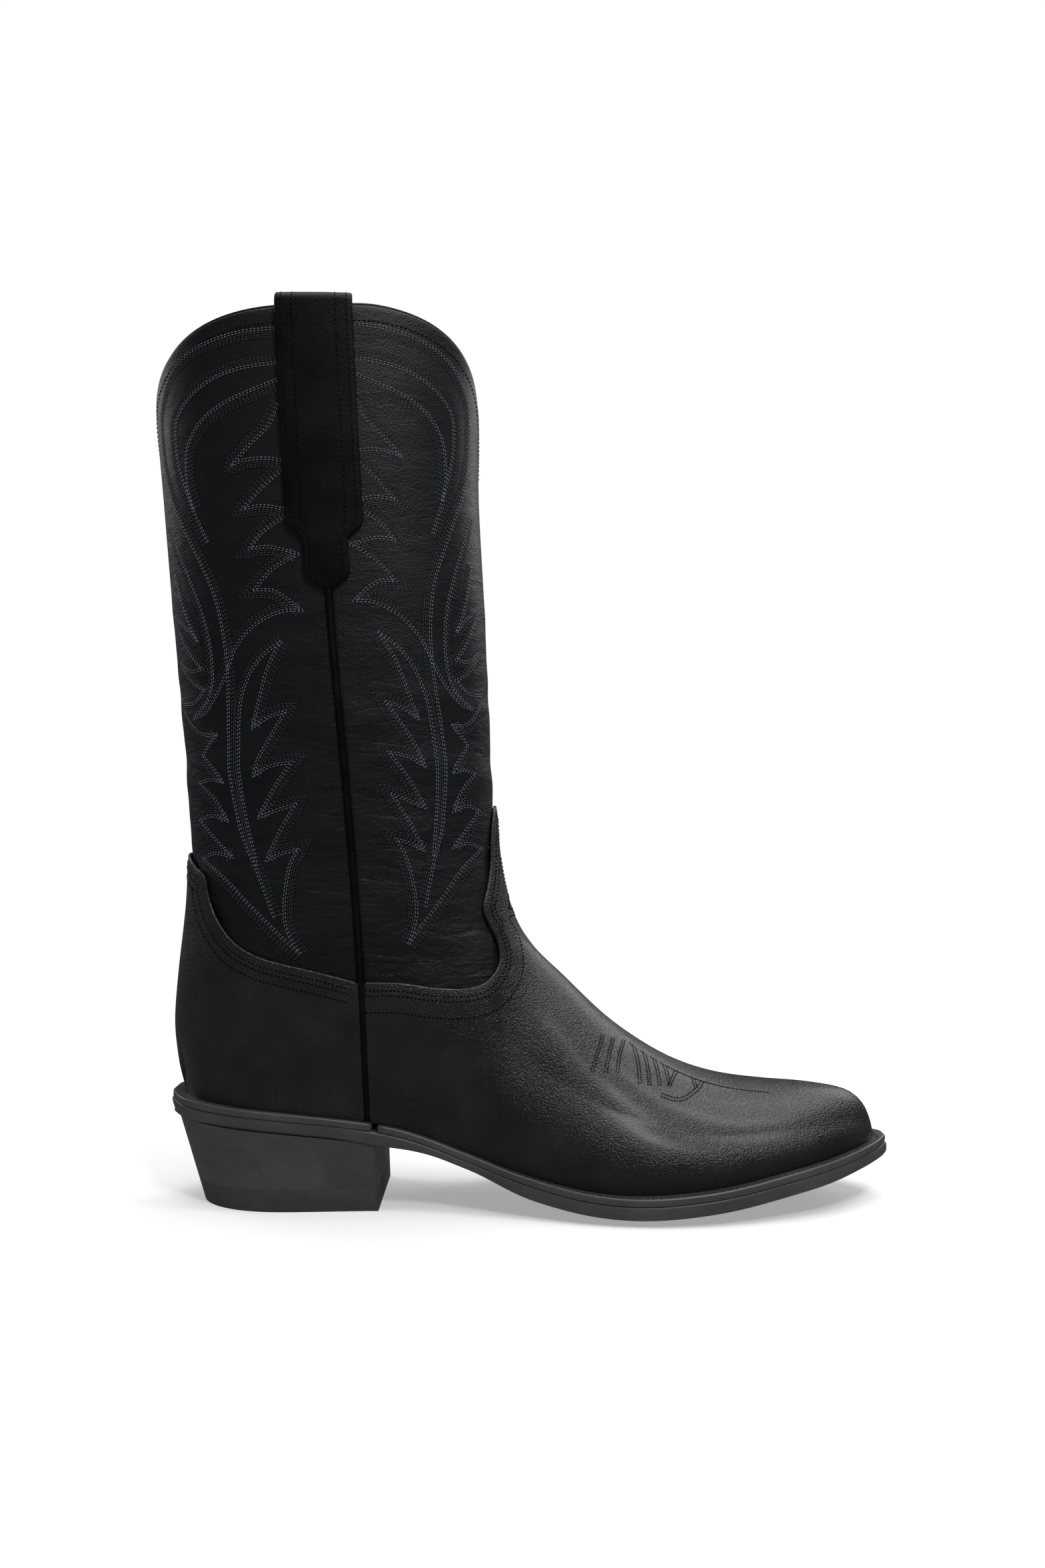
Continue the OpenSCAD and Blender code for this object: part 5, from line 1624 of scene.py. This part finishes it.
class BootColours(bpy.types.PropertyGroup):
    """Colours of the finishes."""

    foot: colour("Foot leather", "Vamp and counter", (0.0085, 0.0082, 0.0094))
    shaft: colour("Shaft leather", "Front and back panels", (0.0034, 0.0037, 0.0052))
    trim: colour("Trim leather", "Straps, piping and bead", (0.0016, 0.0016, 0.0019))
    lining: colour("Lining", "Inner leather", (0.40, 0.27, 0.15))
    # Edges: a greyer black for the burnished finish, lightened further to stand in for the bright floor
    # reflected in the heel breast, which is partly painted reflection.
    edge: colour("Edges", "Painted sole edge and heel", (0.0420, 0.0405, 0.0405))
    sole: colour("Sole", "Stained underside", (0.030, 0.025, 0.022))
    rubber: colour("Rubber", "Heel cap", (0.036, 0.036, 0.036))
    light_thread: colour("Light thread", "Embroidery that shows", (0.160, 0.187, 0.220))
    tonal_thread: colour("Tonal thread", "Embroidery in the leather's colour", (0.034, 0.039, 0.048))
    # Dark thread of the seams, and also the colour of the painted shade beads between the embroidery rows.
    dark_thread_and_shade: colour("Dark thread", "Seam stitches", (0.0012, 0.0012, 0.0014))


class BOOT_OT_vamp(bpy.types.Operator):
    """Vamp, its lining and the toe box."""

    bl_idname = "boot.vamp"
    bl_label = "Vamp"

    def execute(self, context):
        build_vamp()
        return {"FINISHED"}


class BOOT_OT_counter(bpy.types.Operator):
    """Counter cover, heel stiffener and heel lining."""

    bl_idname = "boot.counter"
    bl_label = "Counter"

    def execute(self, context):
        build_counter()
        return {"FINISHED"}


class BOOT_OT_shaft(bpy.types.Operator):
    """Shaft panels and their linings."""

    bl_idname = "boot.shaft"
    bl_label = "Shaft"

    def execute(self, context):
        build_shaft()
        return {"FINISHED"}


class BOOT_OT_trim(bpy.types.Operator):
    """Piping, rim bead and pull straps."""

    bl_idname = "boot.trim"
    bl_label = "Trim"

    def execute(self, context):
        build_trim()
        return {"FINISHED"}


class BOOT_OT_sole(bpy.types.Operator):
    """Outsole, welt, heel rand, insole and sock liner."""

    bl_idname = "boot.sole"
    bl_label = "Sole"

    def execute(self, context):
        build_outsole()
        build_welt()
        build_footbed()
        return {"FINISHED"}


class BOOT_OT_heel(bpy.types.Operator):
    """Heel cap, lifts and wedge."""

    bl_idname = "boot.heel"
    bl_label = "Heel"

    def execute(self, context):
        build_heel()
        return {"FINISHED"}


class BOOT_OT_fittings(bpy.types.Operator):
    """Finishes for nails, shank, pegs and cork filler."""

    bl_idname = "boot.fittings"
    bl_label = "Fittings"

    def execute(self, context):
        dress_fittings()
        return {"FINISHED"}


class BOOT_OT_seam_stitches(bpy.types.Operator):
    """Dark stitch rows along the edges, rim, straps and welt."""

    bl_idname = "boot.seam_stitches"
    bl_label = "Seam stitches"

    def execute(self, context):
        build_seam_stitches()
        return {"FINISHED"}


class BOOT_OT_embroidery(bpy.types.Operator):
    """Decorative stitch rows on the shaft and the vamp."""

    bl_idname = "boot.embroidery"
    bl_label = "Embroidery"

    def execute(self, context):
        build_embroidery()
        build_vamp_ornament()
        return {"FINISHED"}


class BOOT_OT_stage(bpy.types.Operator):
    """Floor, lamps and camera."""

    bl_idname = "boot.stage"
    bl_label = "Stage"

    def execute(self, context):
        build_stage()
        return {"FINISHED"}


OPERATORS = (BOOT_OT_stage, BOOT_OT_vamp, BOOT_OT_counter, BOOT_OT_shaft, BOOT_OT_trim, BOOT_OT_sole,
             BOOT_OT_heel, BOOT_OT_fittings, BOOT_OT_seam_stitches, BOOT_OT_embroidery)


class BOOT_PT_parts(bpy.types.Panel):
    """Sizes, colours and the parts to build."""

    bl_idname = "BOOT_PT_parts"
    bl_label = "Western boot"
    bl_space_type = "VIEW_3D"
    bl_region_type = "UI"
    bl_category = "Boot"

    def draw(self, context):
        layout = self.layout
        for group in (context.scene.boot_sizes, context.scene.boot_colours):
            for name in group.__annotations__:
                layout.prop(group, name)
        for kind in OPERATORS:
            layout.operator(kind.bl_idname)


CLASSES = (BootSizes, BootColours, *OPERATORS, BOOT_PT_parts)


def register():
    """Adds the classes and their settings."""
    for kind in CLASSES:
        bpy.utils.register_class(kind)
    bpy.types.Scene.boot_sizes = PointerProperty(type=BootSizes)
    bpy.types.Scene.boot_colours = PointerProperty(type=BootColours)


def unregister():
    """Takes them away again."""
    del bpy.types.Scene.boot_colours
    del bpy.types.Scene.boot_sizes
    for kind in reversed(CLASSES):
        bpy.utils.unregister_class(kind)


def main():
    """Builds every part in order."""
    register()
    bpy.ops.boot.stage()
    bpy.ops.boot.vamp()
    bpy.ops.boot.counter()
    bpy.ops.boot.shaft()
    bpy.ops.boot.trim()
    bpy.ops.boot.sole()
    bpy.ops.boot.heel()
    bpy.ops.boot.fittings()
    bpy.ops.boot.seam_stitches()
    bpy.ops.boot.embroidery()


if __name__ == "__main__":
    main()
